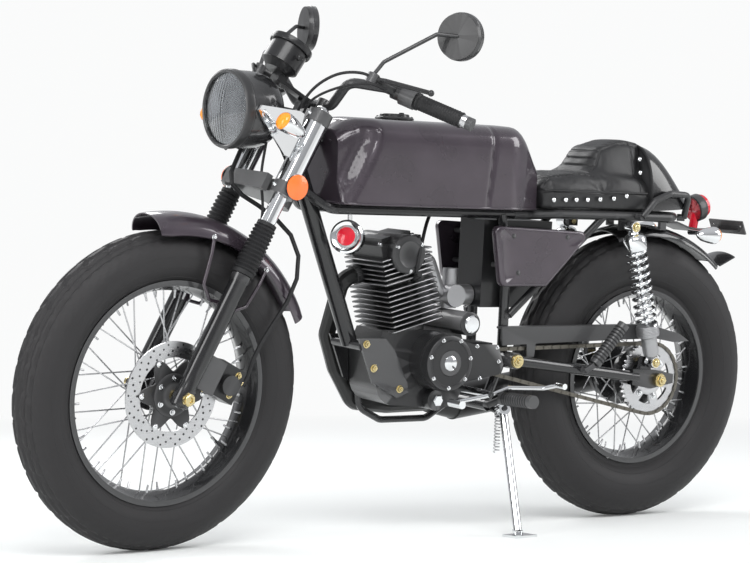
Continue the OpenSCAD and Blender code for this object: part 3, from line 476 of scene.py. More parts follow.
def seat_ring(x, n=44):
    """Half section of the pad: underside, skirt, rounded edge and top, with the hump added."""
    half = 113 - 15 * step(350, 376, x) - 6 * step(90, 48, x)
    top = seat_top(x)
    rise = hump_top(x) * step(226, 168, x)
    ring = []
    for i in range(n):
        t = i / (n - 1)
        if t < 0.1:
            y, z = half * (0.75 + 0.2 * t / 0.1), SEAT_LOW
        elif t < 0.4:
            s = (t - 0.1) / 0.3
            y = half * (0.95 + 0.05 * math.sin(s * math.pi)) - 3 * s
            z = SEAT_LOW + (top - 18 - SEAT_LOW) * s
        elif t < 0.58:
            a = (t - 0.4) / 0.18 * math.pi / 2
            y = half * 0.95 - 3 - 20 * (1 - math.cos(a))
            z = top - 18 + 18 * math.sin(a)
        else:
            s = (t - 0.58) / 0.42
            y = (half * 0.95 - 23) * (1 - s)
            z = top + 3.5 * math.sin(s * math.pi / 2)
        w = abs(y)
        z += rise * step(0, 1, (96 - 0.12 * rise - w) / 44) * (1 if t > 0.3 else 0)
        ring.append((x, y, z))
    return ring


def seat_shell():
    """The pad's plain shape at the origin, in metres, before it is filled out."""
    rings = []
    for i in range(SEAT_RINGS):
        x = SEAT_REAR + (SEAT_FRONT - SEAT_REAR) * i / (SEAT_RINGS - 1)
        rings.append(whole_ring(seat_ring(x)))
    pad = Piece("seat_pad", Matrix.Scale(MM, 4))
    pad.loft([pulled(rings[0], -1.5, 0.95)] + rings + [pulled(rings[-1], 2, 0.94)])
    return pad.shape()


def apply_modifiers(obj):
    dg = bpy.context.evaluated_depsgraph_get()
    baked = bpy.data.meshes.new_from_object(obj.evaluated_get(dg))
    obj.modifiers.clear()
    old = obj.data
    obj.data = baked
    bpy.data.meshes.remove(old)


def coords_of(obj):
    co = np.zeros(len(obj.data.vertices) * 3)
    obj.data.vertices.foreach_get("co", co)
    return co.reshape(-1, 3)


def puff(obj, voxel, cap):
    """Fills the pad out by cloth pressure, with no point moving further than cap."""
    mod = obj.modifiers.new("remesh", "REMESH")
    mod.mode = "VOXEL"
    mod.voxel_size = voxel
    apply_modifiers(obj)
    start = coords_of(obj)
    cloth = obj.modifiers.new("cloth", "CLOTH")
    cloth.settings.use_pressure = True
    cloth.settings.uniform_pressure_force = 4
    cloth.settings.effector_weights.gravity = 0
    cloth.settings.quality = 4
    for f in range(1, 21):
        bpy.context.scene.frame_set(f)
    apply_modifiers(obj)
    bpy.context.scene.frame_set(1)
    end = coords_of(obj)
    move = end - start
    size = np.linalg.norm(move, axis=1, keepdims=True)
    end = start + move * np.minimum(1, cap / np.maximum(size, 1e-9))
    obj.data.vertices.foreach_set("co", end.ravel())
    mod = obj.modifiers.new("subdivision", "SUBSURF")
    mod.levels = mod.render_levels = 1
    apply_modifiers(obj)


def groove(distance, width):
    """1 on the line, falling to 0 away from it."""
    return np.exp(-(distance / width) ** 2)


seat = seat_shell()
puff(seat, 0.0046, 0.005)
pts = coords_of(seat) / MM
normals = np.zeros(len(seat.data.vertices) * 3)
seat.data.vertices.foreach_get("normal", normals)
normals = normals.reshape(-1, 3)
x, y, z = pts.T
up_face = np.clip((normals[:, 2] - 0.35) / 0.3, 0, 1)
on_hump = np.clip((x < HUMP_FOOT) * (z - 838) / 8, 0, 1)
on_pad = up_face * (1 - on_hump)
front_face = on_hump * np.clip((normals[:, 0] - 0.1) / 0.3, 0, 1)
inside = 1 / (1 + np.exp((np.abs(y) - SEAM_Y) / 1.2))
# Ribs across the pad, between two lengthwise seams
rib = (x - 222) / RIB
depth = 3.4 * groove(np.abs(rib - np.round(rib)) * RIB,
    2.2) * on_pad * inside * ((x > HUMP_FOOT) & (x < 358))
# Ribs across the face of the hump, inside a seam that narrows upward
hump_seam = 0.25 * (z - HUMP_BASE)
hump_rib = (z - HUMP_BASE) / HUMP_RIB
in_hump = 1 / (1 + np.exp((np.abs(y) - (64 - hump_seam)) / 1.2))
hump_rib_at = np.abs(hump_rib - np.round(hump_rib)) * HUMP_RIB
depth += 3.2 * groove(hump_rib_at, 2.0) * front_face * in_hump * (z < 908)
# Seams: along the pad's edge, round its skirt, and over the hump's edge
depth += 2.6 * groove(np.abs(y) - SEAM_Y, 1.5) * on_pad * (x > HUMP_FOOT)
depth += 2.4 * groove(z - 796, 1.5) * np.clip((0.5 - np.abs(normals[:, 2])) / 0.2, 0, 1) * (x > 52)
depth += 2.6 * groove(np.abs(y) - (68 - hump_seam), 1.5) * on_hump
depth += 2.2 * groove(x - 84, 1.5) * (z > 800)
# Soft creases in the leather
crease = np.array([noise.noise(Vector((a * 0.018, b * 0.03, c * 0.02))) for a, b, c in pts])
fine = np.array([noise.noise(Vector((a * 0.09, b * 0.05, c * 0.07))) for a, b, c in pts])
depth += 1.0 * crease + 0.35 * fine * (1 - inside * 0.5)
pts = pts - normals * depth[:, None]
pts[:, 2] = np.maximum(pts[:, 2], SEAT_LOW - 1)
world = np.array([tuple(BIKE @ Vector(p)) for p in pts])
seat.data.vertices.foreach_set("co", world.ravel())
seat.data.update()
seat.data.materials.append(LEATHER)
smooth_shade(seat, 70)
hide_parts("seat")
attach(seat, "frame")

piping = Piece("seat_piping", BIKE)
skirt = [(372, 92), (366, 103), (330, 113), (240, 115.5), (140, 115.5), (66, 110)]
piping.tube(smooth_path([(px, py, 797.5) for px, py in skirt], 8), 2.1, 8, both=True)
piping.done(LEATHER, "leather", "frame", sharp=60)

STUDS = ((351, 775), (318, 776), (286, 777), (252, 778), (214, 780), (172, 783), (133, 790),
    (92, 812), (72, 846),
         (66, 878))
studs = Piece("seat_studs", BIKE)
for sx, sz in STUDS:
    sy = 112.5 if sz < 800 else 104 - 0.36 * (sz - 800)
    if sx > 340:
        sy -= 3
    studs.lathe([(6.2, 0), (6.2, 1.2), (5.2, 3.2), (3, 4.4), (0, 4.8)], (sx, sy - 0.5, sz),
        (0, 1, 0.1), 20, both=True)
studs.done(CHROME, "chrome", "frame")

# ---------- Seat cowl ----------
cowl = Piece("tail_cowl", BIKE)
rings = []
for i in range(40):
    t = i / 39
    cx = 48 - 178 * t
    half = 110 * math.sqrt(max(0, 1 - (max(0, t - 0.15) / 0.86) ** 2.4)) + 1
    top = 914 - 128 * step(0.0, 1.0, t) ** 1.15 - 10 * t
    low = 756 + 10 * t
    ring = []
    for k in range(49):
        a = math.pi * k / 48
        flat = 0.62 + 0.1 * t
        ring.append((cx, half * math.copysign(abs(math.cos(a)) ** flat, math.cos(a)),
                     low + (top - low) * math.sin(a) ** 0.78))
    rings.append(ring)
cowl.loft(rings)
cowl.done(BLACK, "black_paint", "frame", ["seat_cowl"], sharp=50)
cowl_edge = Piece("cowl_beading", BIKE)
cowl_edge.tube([(p[0] + 2, p[1] * 0.995, p[2]) for p in rings[0]], 3.2, 8)
cowl_edge.done(RUBBER, "rubber", "frame")

# ---------- Side covers ----------
cover_line = arc(508, 698, 14, 90, 0, 4) + arc(484, 592, 18, -10, -90, 5) + arc(370, 584, 10, -90,
    -140, 4) \
    + arc(268, 690, 14, 215, 90, 6)
covers = Piece("side_cover_shells", BIKE)
mid = Vector((sum(p[0] for p in cover_line) / len(cover_line), 0,
    sum(p[1] for p in cover_line) / len(cover_line)))
levels = [(104, 1.0), (112, 1.0), (117, 0.992), (119.5, 0.975), (120.8, 0.94), (121.2, 0.90),
    (119.9, 0.885), (119.9, 0.6),
          (120.4, 0.3)]
dense = []
for i, p in enumerate(cover_line):
    q = cover_line[(i + 1) % len(cover_line)]
    cuts = max(1, int(math.dist(p, q) / 14))
    dense += [(p[0] + (q[0] - p[0]) * k / cuts, p[1] + (q[1] - p[1]) * k / cuts) for k in range(cuts)]
covers.loft([[(mid.x + (px - mid.x) * k, cy, mid.z + (pz - mid.z) * k) for px, pz in dense] for cy,
    k in levels],
            both=True)
covers.done(BODY, "body_colour", "frame", ["side_covers"], sharp=40)
cover_bolts = Piece("side_cover_bolts", BIKE)
for p in ((470, 690), (312, 690), (452, 606)):
    cover_bolts.bolt((p[0], 119, p[1]), (0, 1, 0), 4.5, 3, both=True, dome=True)
for p in ((470, 690), (330, 690), (470, 620)):
    cover_bolts.lathe([(5.8, 0), (5.8, 57)], (p[0], 46.5, p[1]), (0, 1, 0), 16, both=True)
cover_bolts.done(SATIN, "black_paint", "frame")

# ---------- Mudguards ----------


def guard_ring(r, half, deep, thick, angle):
    """A mudguard's section at one angle round the wheel: an arch, thick all along."""
    a = math.radians(angle)
    out = []
    steps_n = 22
    for side, rr in ((1, 0), (-1, thick)):  # the outer face, then back along the inner one
        for k in range(steps_n + 1):
            s = (-1 + 2 * k / steps_n) * side
            y = (half - rr) * math.sin(s * math.pi / 2)
            drop = deep * (1 - math.cos(s * math.pi / 2)) ** 1.1
            rad = r - rr - drop
            out.append((rad * math.cos(a), y, rad * math.sin(a)))
    return out


front_guard = Piece("front_mudguard", FRONT_WHEEL)
rings = []
for i in range(61):
    t = i / 60
    ease = 1 - 0.07 * step(0.06, 0.0, t) - 0.07 * step(0.94, 1.0, t)
    rings.append(guard_ring(381, 62 * ease, 44 * ease, 2.4, 80.5 + 74 * t))
front_guard.loft(rings)
front_guard.done(BODY, "body_colour", "steering", sharp=45)

stays = Piece("mudguard_stays", FRONT_WHEEL)
STAY_LINES = (
    [(-71, 61, 338), (-71, 62, 326), (-63, 69, 298), (-48, 69, 236), (-70, 62.7, 200), (-96, 62.7, 196)],
    [(-214, 61, 268), (-206, 63, 254), (-190, 69, 232), (-160, 69, 186), (-130, 62.7, 176),
    (-98, 62.7, 184)])
for line in STAY_LINES:
    stays.tube(rounded_path(line, 10), 4, 12, both=True)
stays.lathe([(9, 0), (9, 4), (8, 5)], (-96, 61.5, 190), (0, 1, 0), 24, both=True)
stays.done(BODY, "body_colour", "steering", ["front_fender"])
stay_bolts = Piece("mudguard_bolts", FRONT_WHEEL)
for bx, bz in ((-71, 334), (-212, 264)):
    stay_bolts.bolt((bx, 62, bz), (0, 1, 0), 4.5, 4, both=True)
stay_bolts.done(CHROME, "chrome", "steering")

rear_guard = Piece("rear_mudguard", BIKE)
rings = []
for i in range(50):
    t = i / 49
    rings.append([(p[0], p[1], p[2] + REAR_R) for p in guard_ring(371.5, 64, 26, 2.6, 72.5 + 57 * t)])
rear_guard.loft(rings)
rear_guard.loft([
    [(-236 - 56 * t, y * (1 - 0.12 * t), 634 + 22 * t - (abs(y) / 58) ** 2 * 10 - k) for y, k in
     [(58 - 116 * j / 20, 0) for j in range(21)] + [(-58 + 116 * j / 20, 2.4) for j in range(21)]]
    for t in [q / 8 for q in range(9)]])
rear_guard.plate([(-10, 714), (10, 714), (10, 730), (-10, 730)], 91, 101, both=True)
rear_guard.plate([(-10, 711), (10, 711), (10, 715), (-10, 715)], 56, 101, both=True)
rear_guard.done(BLACK, "black_paint", "frame", ["rear_fender"], sharp=45)

# ---------- Tyres, with a sawtooth tread ----------


def tyre_piece(name, space, r, w, rim_r, bead, body, node):
    """A tyre's cross-section swept round, its crown broken by bands of sawtooth blocks."""
    seg = 288
    half = w / 2
    last = math.pi - math.asin(bead / half)
    prof = [(-bead, rim_r + 0.8)]
    for k in range(61):
        a = last * (-1 + k / 30)
        prof.append((half * math.sin(a), r - half + half * math.cos(a)))
    prof.append((bead, rim_r + 0.8))
    crown = half * 0.66
    verts, faces = [], []
    n = len(prof)
    for j in range(seg):
        t = 2 * math.pi * j / seg
        for y, rad in prof:
            cut = 0
            if rad > r - half * 0.3 and abs(y) < crown:
                saw = abs((j / 8.0 + 0.5 * abs(y) / crown) % 1.0 - 0.5)
                lane = (abs(y) / crown * 3.0) % 1.0
                if lane > 0.72 or (abs(y) > 3 and saw < 0.09):
                    cut = 3.2
            elif rad > r - half * 0.62:
                cut = 2.4 if (j / 4.0 + abs(y) / 9.0) % 1.0 < 0.24 else 0
            q = rad - cut
            verts.append((q * math.cos(t), y, q * math.sin(t)))
    for j in range(seg):
        for k in range(n - 1):
            a, b = j * n + k, j * n + k + 1
            c, d = ((j + 1) % seg) * n + k + 1, ((j + 1) % seg) * n + k
            faces.append([a, b, c, d])
        a, d = j * n, ((j + 1) % seg) * n
        faces.append([a + n - 1, a, d, d + n - 1])
    p = Piece(name, space)
    p.add(verts, faces)
    for side in (1, -1):
        for deg in (84, 104, 128):
            ring_r = r - half + half * math.cos(math.radians(deg))
            at = math.sin(math.radians(deg))
            p.lathe([(ring_r - 1.4, 0), (ring_r - 0.6, 1.1), (ring_r + 0.6, 1.1), (ring_r + 1.4, 0),
                (ring_r - 1.4, 0)],
                    (0, side * (half * at - 0.9), 0), (0, side, 0), 120)
    p.done(TYRE, "tyre", body, [node], sharp=26)


tyre_piece("front_tread_tyre", FRONT_WHEEL, FRONT_R, FRONT_W, 240, 36, "front_wheel", "front_tyre")
tyre_piece("rear_tread_tyre", REAR_WHEEL, REAR_R, REAR_W, 214, 38, "rear_wheel", "rear_tyre")

# ---------- Headlight ----------
C27, S27 = math.cos(math.radians(RAKE)), math.sin(math.radians(RAKE))
LAMP_AT, LAMP_AXIS = (112, 0, 617), (C27, 0, -S27)
bowl = Piece("headlight_bowl", FORK)
bowl.lathe([(0, -66), (20, -65), (44, -60), (63, -48), (75, -32), (81, -12), (83, 6), (83, 40),
    (80, 42), (78, 30)],
           LAMP_AT, LAMP_AXIS, 72)
bowl.done(BLACK, "black_paint", "steering", ["headlight"], sharp=40)
rim = Piece("headlight_rim", FORK)
rim.lathe([(80, 40), (84.4, 42), (85, 46), (85, 58), (83.4, 62.5), (80, 64), (77, 62), (76, 56),
    (78, 50), (80, 40)],
          LAMP_AT, LAMP_AXIS, 96)
rim.bolt(Vector(LAMP_AT) + Vector(LAMP_AXIS) * 52 - Vector((S27, 0, C27)) * 84, (-S27, 0, -C27), 3, 2)
rim.done(SATIN, "black_paint", "steering", sharp=40)
reflector = Piece("headlight_reflector", FORK)
reflector.lathe([(76, 54), (66, 36), (50, 18), (30, 4), (14, -2), (13, -4), (31, 2), (51, 16),
    (67, 34), (77.5, 54)],
                LAMP_AT, LAMP_AXIS, 72)
reflector.lathe([(11, -2), (11, 12), (8, 20), (7, 34), (4, 38), (0, 39)], LAMP_AT, LAMP_AXIS, 24)
reflector.done(SILVER_BOWL, "chrome", "steering", sharp=40)
lens = Piece("headlight_glass", FORK)
u, v, w = axes_from(LAMP_AXIS)
n_r, n_a = 22, 160
verts, faces = [], []
for side in (0, 1):
    for i in range(n_r):
        rad = 77.5 * i / (n_r - 1)
        for k in range(n_a):
            a = 2 * math.pi * k / n_a
            px = rad * math.cos(a)
            flute = 0.9 * abs(math.sin(px * math.pi / 9)) * (1 if side == 0 else 0)
            h = 73.5 - 15.5 * (rad / 77.5) ** 2 - (3.2 + flute if side == 0 else 0)
            verts.append(Vector(LAMP_AT) + w * h + (u * math.cos(a) + v * math.sin(a)) * max(rad, 0.01))
for side in (0, 1):
    b0 = side * n_r * n_a
    for i in range(n_r - 1):
        for k in range(n_a):
            a, b = b0 + i * n_a + k, b0 + i * n_a + (k + 1) % n_a
            faces.append([a, b, b + n_a, a + n_a] if side else [a, a + n_a, b + n_a, b])
for k in range(n_a):
    a, b = (n_r - 1) * n_a + k, (n_r - 1) * n_a + (k + 1) % n_a
    faces.append([a, b, b + n_r * n_a, a + n_r * n_a])
lens.add(verts, faces)
lens.done(GLASS, "lens_clear", "steering", ["headlight_lens"], sharp=40)

# ---------- Fork ----------
GAITER_LOW = 288
for side, top in ((1, 411), (-1, 470)):
    g = Piece("fork_gaiter_left" if side > 0 else "fork_gaiter_right", FORK)
    rings_n = 12 if side > 0 else 17
    prof = [(22.4, GAITER_LOW), (25, GAITER_LOW), (25, GAITER_LOW + 9)]
    span_z = top - GAITER_LOW - 18
    for k in range(rings_n * 6 + 1):
        t = k / (rings_n * 6)
        prof.append((23.2 + 3.9 * (0.5 - 0.5 * math.cos(2 * math.pi * rings_n * t)) - 3.2 * t,
                     GAITER_LOW + 9 + span_z * t))
    prof += [(21.5, top - 8), (21.5, top), (16.6, top)]
    g.lathe(prof, (0, 88 * side, 0), (0, 0, 1), 36)
    g.done(RUBBER, "rubber", "steering", ["fork_gaiters"], sharp=50)
    s = Piece("fork_slider_left" if side > 0 else "fork_slider_right", FORK)
    s.lathe([(17, -20), (20, -18), (21, -14), (21, 20), (19.4, 28), (19.4, 60), (20.2, 70),
        (20.2, 268), (21.8, 272),
             (21.8, 287), (18, 288)], (0, 88 * side, 0), (0, 0, 1), 40)
    s.lathe([(15, 0), (15, 3), (12, 4)], (0, 88 * side, -22), (0, 0, 1), 6)
    s.done(BLACK, "black_paint", "steering", ["fork_sliders"], sharp=35)

# ---------- Shock absorbers ----------


def helix(a, b, r, turns, per=26):
    """Points of a coil spring from a to b."""
    a, b = Vector(a), Vector(b)
    u, v, w = axes_from(b - a)
    n = int(turns * per)
    out = []
    for k in range(n + 1):
        t = k / n
        out.append(a + w * ((b - a).length * t) + r * (u * math.cos(2 * math.pi * turns * t)
                                                  + v * math.sin(2 * math.pi * turns * t)))
    return out


FOOT, HEAD = Vector((34, 128, 394)), Vector((122, 128, 718))
AXIS = (HEAD - FOOT).normalized()
LENGTH = (HEAD - FOOT).length


def on_shock(t):
    return FOOT + AXIS * t


springs = Piece("shock_springs", BIKE)
springs.tube(helix(on_shock(92), on_shock(LENGTH - 52), 22.6, 10.5), 4.3, 10, both=True)
springs.done(CHROME, "chrome", "frame", ["rear_shocks"], sharp=60)
caps = Piece("shock_caps", BIKE)
caps.lathe([(9, -58), (27, -56), (28, -52), (28, -30), (26, -24), (20, -19), (13, -16), (11, -12),
    (0, -12)],
           HEAD, AXIS, 40, both=True)
caps.lathe([(6, 60), (6, LENGTH - 56)], FOOT, AXIS, 20, both=True)
for end in (FOOT, HEAD):
    caps.lathe([(13, -14), (14, -12), (14, 12), (13, 14)], end, (0, 1, 0), 32, both=True)
caps.done(CHROME, "chrome", "frame", sharp=35)
lower = Piece("shock_bodies", BIKE)
lower.lathe([(10, 12), (17, 18), (19, 26), (19, 62), (26, 66), (27, 69), (27, 88), (25.5, 92),
    (12, 93)], FOOT,
            AXIS, 40, both=True)
for k in range(5):
    lower.lathe([(27, 0), (27.8, 0.8), (27.8, 2.2), (27, 3)], on_shock(70 + 3.8 * k), AXIS, 40,
        both=True)
lower.done(ALLOY, "carb_metal", "frame", sharp=35)
shock_nuts = Piece("shock_nuts", BIKE)
for end in (FOOT, HEAD):
    shock_nuts.bolt(end + Vector((0, 13.4, 0)), (0, 1, 0), 9, 8, both=True, dome=True)
    shock_nuts.lathe([(7, -40), (7, 12)], end, (0, 1, 0), 20, both=True)
shock_nuts.done(GOLD, "bolt_steel", "frame", sharp=35)

# ---------- Wheels: rims, hubs, disc, spokes and sprocket ----------


def ring_lathe(piece, profile, at, axis, seg=120):
    """A closed profile turned about an axis."""
    piece.lathe(list(profile) + [profile[0]], at, axis, seg)


def rim_piece(name, space, rim_r, w, body, node):
    """A rolled rim, w to each side of the middle, with its valve stem."""
    p = Piece(name, space)
    prof = [(rim_r, w), (rim_r, w - 3), (rim_r - 10, w - 5), (rim_r - 16, 22), (rim_r - 20, 8),
        (rim_r - 21.5, 0),
            (rim_r - 20, -8), (rim_r - 16, -22), (rim_r - 10, -w + 5), (rim_r, -w + 3), (rim_r, -w),
            (rim_r - 11.5, -w), (rim_r - 13, -w + 3), (rim_r - 14, -w + 8), (rim_r - 19.5, -22),
            (rim_r - 24.5, -8),
            (rim_r - 26, 0), (rim_r - 24.5, 8), (rim_r - 19.5, 22), (rim_r - 14, w - 8),
            (rim_r - 13, w - 3),
            (rim_r - 11.5, w)]
    ring_lathe(p, prof[::-1], (0, 0, 0), (0, 1, 0), 144)
    p.lathe([(4, 0), (4, 18), (2.6, 19), (2.6, 32), (3.2, 32), (3.2, 38), (0, 38)],
            ((rim_r - 25) * -0.8, 4, (rim_r - 25) * -0.6), (0.8, 0, 0.6), 12)
    p.done(BLACK, "rim_black", body, [node], sharp=30)


rim_piece("front_rim_rolled", FRONT_WHEEL, 240, 40.5, "front_wheel", "front_rim")
rim_piece("rear_rim_rolled", REAR_WHEEL, 214, 42.5, "rear_wheel", "rear_rim")


def nipples(name, space, rim_r, body):
    """The nuts that draw the spokes tight, pointing in from the rim."""
    p = Piece(name, space)
    for k in range(36):
        a = 2 * math.pi * (k + 0.5) / 36
        side = 1 if k % 2 else -1
        c, s = math.cos(a), math.sin(a)
        p.lathe([(3.4, -2), (3.4, 1), (2.6, 3), (2.3, 15), (1.6, 16)],
            ((rim_r - 25) * c, side * 8, (rim_r - 25) * s), (-c, side * 0.12, -s), 10)
    p.done(STEEL, "spoke_steel", body, sharp=40)


nipples("front_spoke_nipples", FRONT_WHEEL, 240, "front_wheel")
nipples("rear_spoke_nipples", REAR_WHEEL, 214, "rear_wheel")



def flat_ring(piece, inside, outside, y0, y1):
    """A flat ring between two outlines of as many points each."""
    m = len(outside)
    verts = [(x, y, z) for y in (y0, y1) for outline in (inside, outside) for x, z in outline]
    faces = []
    for k in range(m):
        q = (k + 1) % m
        faces += [[k, q, m + q, m + k], [2 * m + k, 3 * m + k, 3 * m + q, 2 * m + q],
                  [k, 2 * m + k, 2 * m + q, q], [m + k, m + q, 3 * m + q, 3 * m + k]]
    piece.add(verts, faces)


def circle(r, n):
    return [(r * math.cos(2 * math.pi * k / n), r * math.sin(2 * math.pi * k / n)) for k in range(n)]


DISC_OUT = 50.0
disc = Piece("brake_disc_ring", FRONT_WHEEL)
flat_ring(disc, circle(79, 180), circle(113, 180), 46.1, DISC_OUT)
disc.done(STEEL, "spoke_steel", "front_wheel", ["brake_disc"], sharp=30)
# Painted shade: the disc is not pierced; thin black discs on its outer face stand in for the dark
# drilled holes.
disc_hole_shade_caps = Piece("brake_disc_painted_hole_shade", FRONT_WHEEL)
for k in range(9):
    for j, rad in enumerate((86, 93, 100, 107)):
        for turned, r in ((0, 2.6), (20, 2.2)):
            a = math.radians(40 * k + 7 * j + turned)
            at = (rad * math.cos(a), DISC_OUT, rad * math.sin(a))
            disc_hole_shade_caps.lathe([(r, 0), (r, 0.15), (0, 0.15)], at, (0, 1, 0), 14)
disc_hole_shade_caps.done(PLASTIC, "rim_black", "front_wheel")
carrier = Piece("brake_disc_carrier", FRONT_WHEEL)
star = []
for k in range(60):
    a = 2 * math.pi * k / 60
    star.append(((66 + 16 * math.cos(6 * a)) * math.cos(a), (66 + 16 * math.cos(6 * a)) * math.sin(a)))
carrier.plate(star, 47, 52.6, 1.2)
carrier.lathe([(46, 50), (46, 54), (40, 56), (30, 57), (24, 60), (0, 60)], (0, 0, 0), (0, 1, 0), 60)
carrier.done(SATIN, "rim_black", "front_wheel", sharp=35)
disc_bolts = Piece("brake_disc_bolts", FRONT_WHEEL)
for k in range(6):
    a = 2 * math.pi * k / 6
    disc_bolts.bolt((76 * math.cos(a), 52.4, 76 * math.sin(a)), (0, 1, 0), 5, 3, dome=True)
    b = a + math.pi / 6
    disc_bolts.bolt((36 * math.cos(b), 55.6, 36 * math.sin(b)), (0, 1, 0), 5, 4)
disc_bolts.done(CHROME, "chrome", "front_wheel", sharp=35)

sprocket = Piece("toothed_sprocket", REAR_WHEEL)
teeth, root, crest = 43, 84, 90.5
edge = []
for k in range(teeth):
    for f, rad in ((0.0, root), (0.22, root + 1), (0.42, crest), (0.58, crest), (0.78, root + 1)):
        a = 2 * math.pi * (k + f) / teeth
        edge.append((rad * math.cos(a), rad * math.sin(a)))
flat_ring(sprocket, circle(62, len(edge)), edge, 77.6, 84.4)
for k in range(6):
    a = math.radians(60 * k + 12)
    arm = [(rad * math.cos(a + w), rad * math.sin(a + w)) for rad,
        w in ((64, -0.2), (64, 0.2), (38, 0.34), (38, -0.34))]
    sprocket.plate(arm, 77.8, 84.2, 0.6)
sprocket.lathe([(40, 70), (40, 84), (36, 86), (26, 86), (24, 90), (10, 90)], (0, 0, 0), (0, 1, 0), 48)
sprocket.done(STEEL, "sprocket_steel", "rear_wheel", ["rear_sprocket"], sharp=30)
sprocket_bolts = Piece("sprocket_bolts", REAR_WHEEL)
for k in range(6):
    a = math.radians(60 * k + 12)
    sprocket_bolts.bolt((46 * math.cos(a), 84.4, 46 * math.sin(a)), (0, 1, 0), 6, 4)
sprocket_bolts.done(CHROME, "chrome", "rear_wheel", sharp=35)

# ---------- Engine trim ----------
CYL = BIKE @ shift(690, 0, 476) @ turn(15, "Y")
FIN_LEN, FIN_W, BARREL_H = 138, 150, 110
fin_edges = Piece("machined_fin_edges", CYL)
barrel_fins = [6 + i * (BARREL_H - 12) / 8.4 for i in range(9)]
head_fins = [BARREL_H + 4.3 + i * 11 for i in range(6)]
for z in barrel_fins + head_fins:
    x1, y1, zz = FIN_LEN / 2, FIN_W / 2, z + 1.75
    loop = [(x1, y1 - 3, zz), (x1 - 3, y1, zz), (-x1 + 3, y1, zz), (-x1, y1 - 3, zz),
            (-x1, -y1 + 3, zz), (-x1 + 3, -y1, zz), (x1 - 3, -y1, zz), (x1, -y1 + 3, zz)]
    fin_edges.tube(loop, 0.85, 6, closed=True)
fin_edges.done(BRIGHT, "engine_black", "frame", sharp=60)
head_trim = Piece("head_covers", CYL)
head_bolts = Piece("head_bolts", CYL)
for s in (1, -1):
    head_trim.lathe([(44, 0), (44, 3), (41, 6.5), (30, 8.5), (28, 7.5), (0, 7.5)],
        (0, s * 81, 172.3), (0, s, 0), 64)
    for k in range(3):
        a = math.radians(120 * k + 40)
        head_bolts.bolt((37 * math.cos(a), s * 86, 172.3 + 37 * math.sin(a)), (0, s, 0), 4.2, 4)
for x0, y0 in ((55, 48), (-55, 48), (55, -48), (-55, -48)):
    head_bolts.bolt((x0 * 0.8, y0 * 0.9, 202), (0, 0, 1), 5, 5, dome=True)
head_trim.done(SATIN, "engine_black", "frame")
head_bolts.done(CHROME, "chrome", "frame")
case_trim = Piece("case_covers", BIKE)
C = (632, 401)
case_trim.lathe([(62, 0), (62, 2), (58, 4.5), (52, 5), (50, 3.2), (30, 3.2), (28, 6), (0, 6)],
    (C[0], 118, C[1]), (0, 1, 0), 72)
case_trim.lathe([(68, 0), (68, 3), (63, 7), (52, 9), (50, 7), (26, 7), (24, 10), (0, 10)],
    (C[0], -112, C[1]), (0, -1, 0), 72)
case_trim.lathe([(27, 0), (27, 3), (24, 5)], (566, 98, 487), (0, 1, 0), 48)
case_trim.done(SATIN, "engine_black", "frame")
case_bolts = Piece("case_bolts", BIKE)
for k in range(7):
    a = math.radians(51.4 * k + 15)
    case_bolts.bolt((C[0] + 56 * math.cos(a), 121.5, C[1] + 56 * math.sin(a)), (0, 1, 0), 3.6, 4)
    case_bolts.bolt((C[0] + 61 * math.cos(a), -117, C[1] + 61 * math.sin(a)), (0, -1, 0), 3.6, 4)
for x0, z0 in ((478, 400), (484, 432), (542, 436), (592, 448), (592, 356), (530, 362)):
    case_bolts.bolt((x0, 98, z0), (0, 1, 0), 3.6, 4)
case_bolts.lathe([(17, 0), (17, 3), (14, 5), (0, 6)], (C[0], 121, C[1]), (0, 1, 0), 40)
case_bolts.lathe([(20, 0), (20, 5), (17, 7.5), (0, 8)], (566, 103, 487), (0, 1, 0), 40)
case_bolts.lathe([(14, 0), (14, 8), (11, 10), (0, 10)], (632, 76, 312), (0, 1, 0), 6)
case_bolts.done(CHROME, "chrome", "frame")
frame_bolts = Piece("engine_mount_bolts", BIKE)
for x0, z0 in ((822, 440), (799, 386), (726, 338)):
    frame_bolts.bolt((x0, 62, z0), (0, 1, 0), 7, 6, both=True)
frame_bolts.bolt((440, 118, 402), (0, 1, 0), 12, 9, both=True)
frame_bolts.bolt((0, 124, 349), (0, 1, 0), 12, 8, both=True)
frame_bolts.done(GOLD, "bolt_steel", "frame")
plug = Piece("spark_plug_lead", BIKE)
plug.tube(smooth_path([(706, 74, 590), (716, 92, 612), (704, 86, 660), (668, 50, 706),
    (640, 26, 734)], 8), 4, 10)
plug.lathe([(7, -22), (9, -18), (9, 8), (6, 14)], (706, 78, 594), (0.1, 1, 0.4), 20)
plug.done(RUBBER, "rubber", "frame", sharp=50)

# ---------- Mirrors, speedometer and lamps ----------
mirror = Piece("mirror_glasses", FORK)
mirror_rims = Piece("mirror_rims", FORK)
for s in (1, -1):
    at = Vector((-112, 268 * s, 944))
    ax = Vector((0.85, 0.36 * s, -0.42)).normalized()
    mirror.lathe([(47, -9.6), (47, -9.9), (0, -10.4)], at, ax, 56)
    mirror_rims.lathe([(52, -6), (52, 3), (48, 7), (30, 10), (0, 11)], at, ax, 56)
    mirror_rims.lathe([(47, -10), (49, -11), (52, -9), (52.3, -5), (50, -4), (47, -10)], at, ax, 56)
mirror.done(MIRROR, "chrome", "steering")
mirror_rims.done(BLACK, "black_plastic", "steering")
dial_dir = Vector((math.sin(math.radians(-6)), 0, math.cos(math.radians(-6))))
dial = Piece("speedometer_rim", FORK)
top = Vector((92, 0, 738)) + dial_dir * 58
dial.lathe([(48, -14), (49, -10), (49, -3), (46, 0.2), (42, 0.6), (41, -3), (41.5, -8), (48, -14)],
    top, dial_dir, 64)
dial.lathe([(5, 0), (5, 3), (7, 4), (7, 12), (5, 14)], (92, 49, 760), (0, 1, 0), 20)
dial.done(PLASTIC, "black_plastic", "steering")
face = Piece("speedometer_face", FORK)
face.lathe([(41, -4), (41, -3), (0, -3)], top, dial_dir, 48)
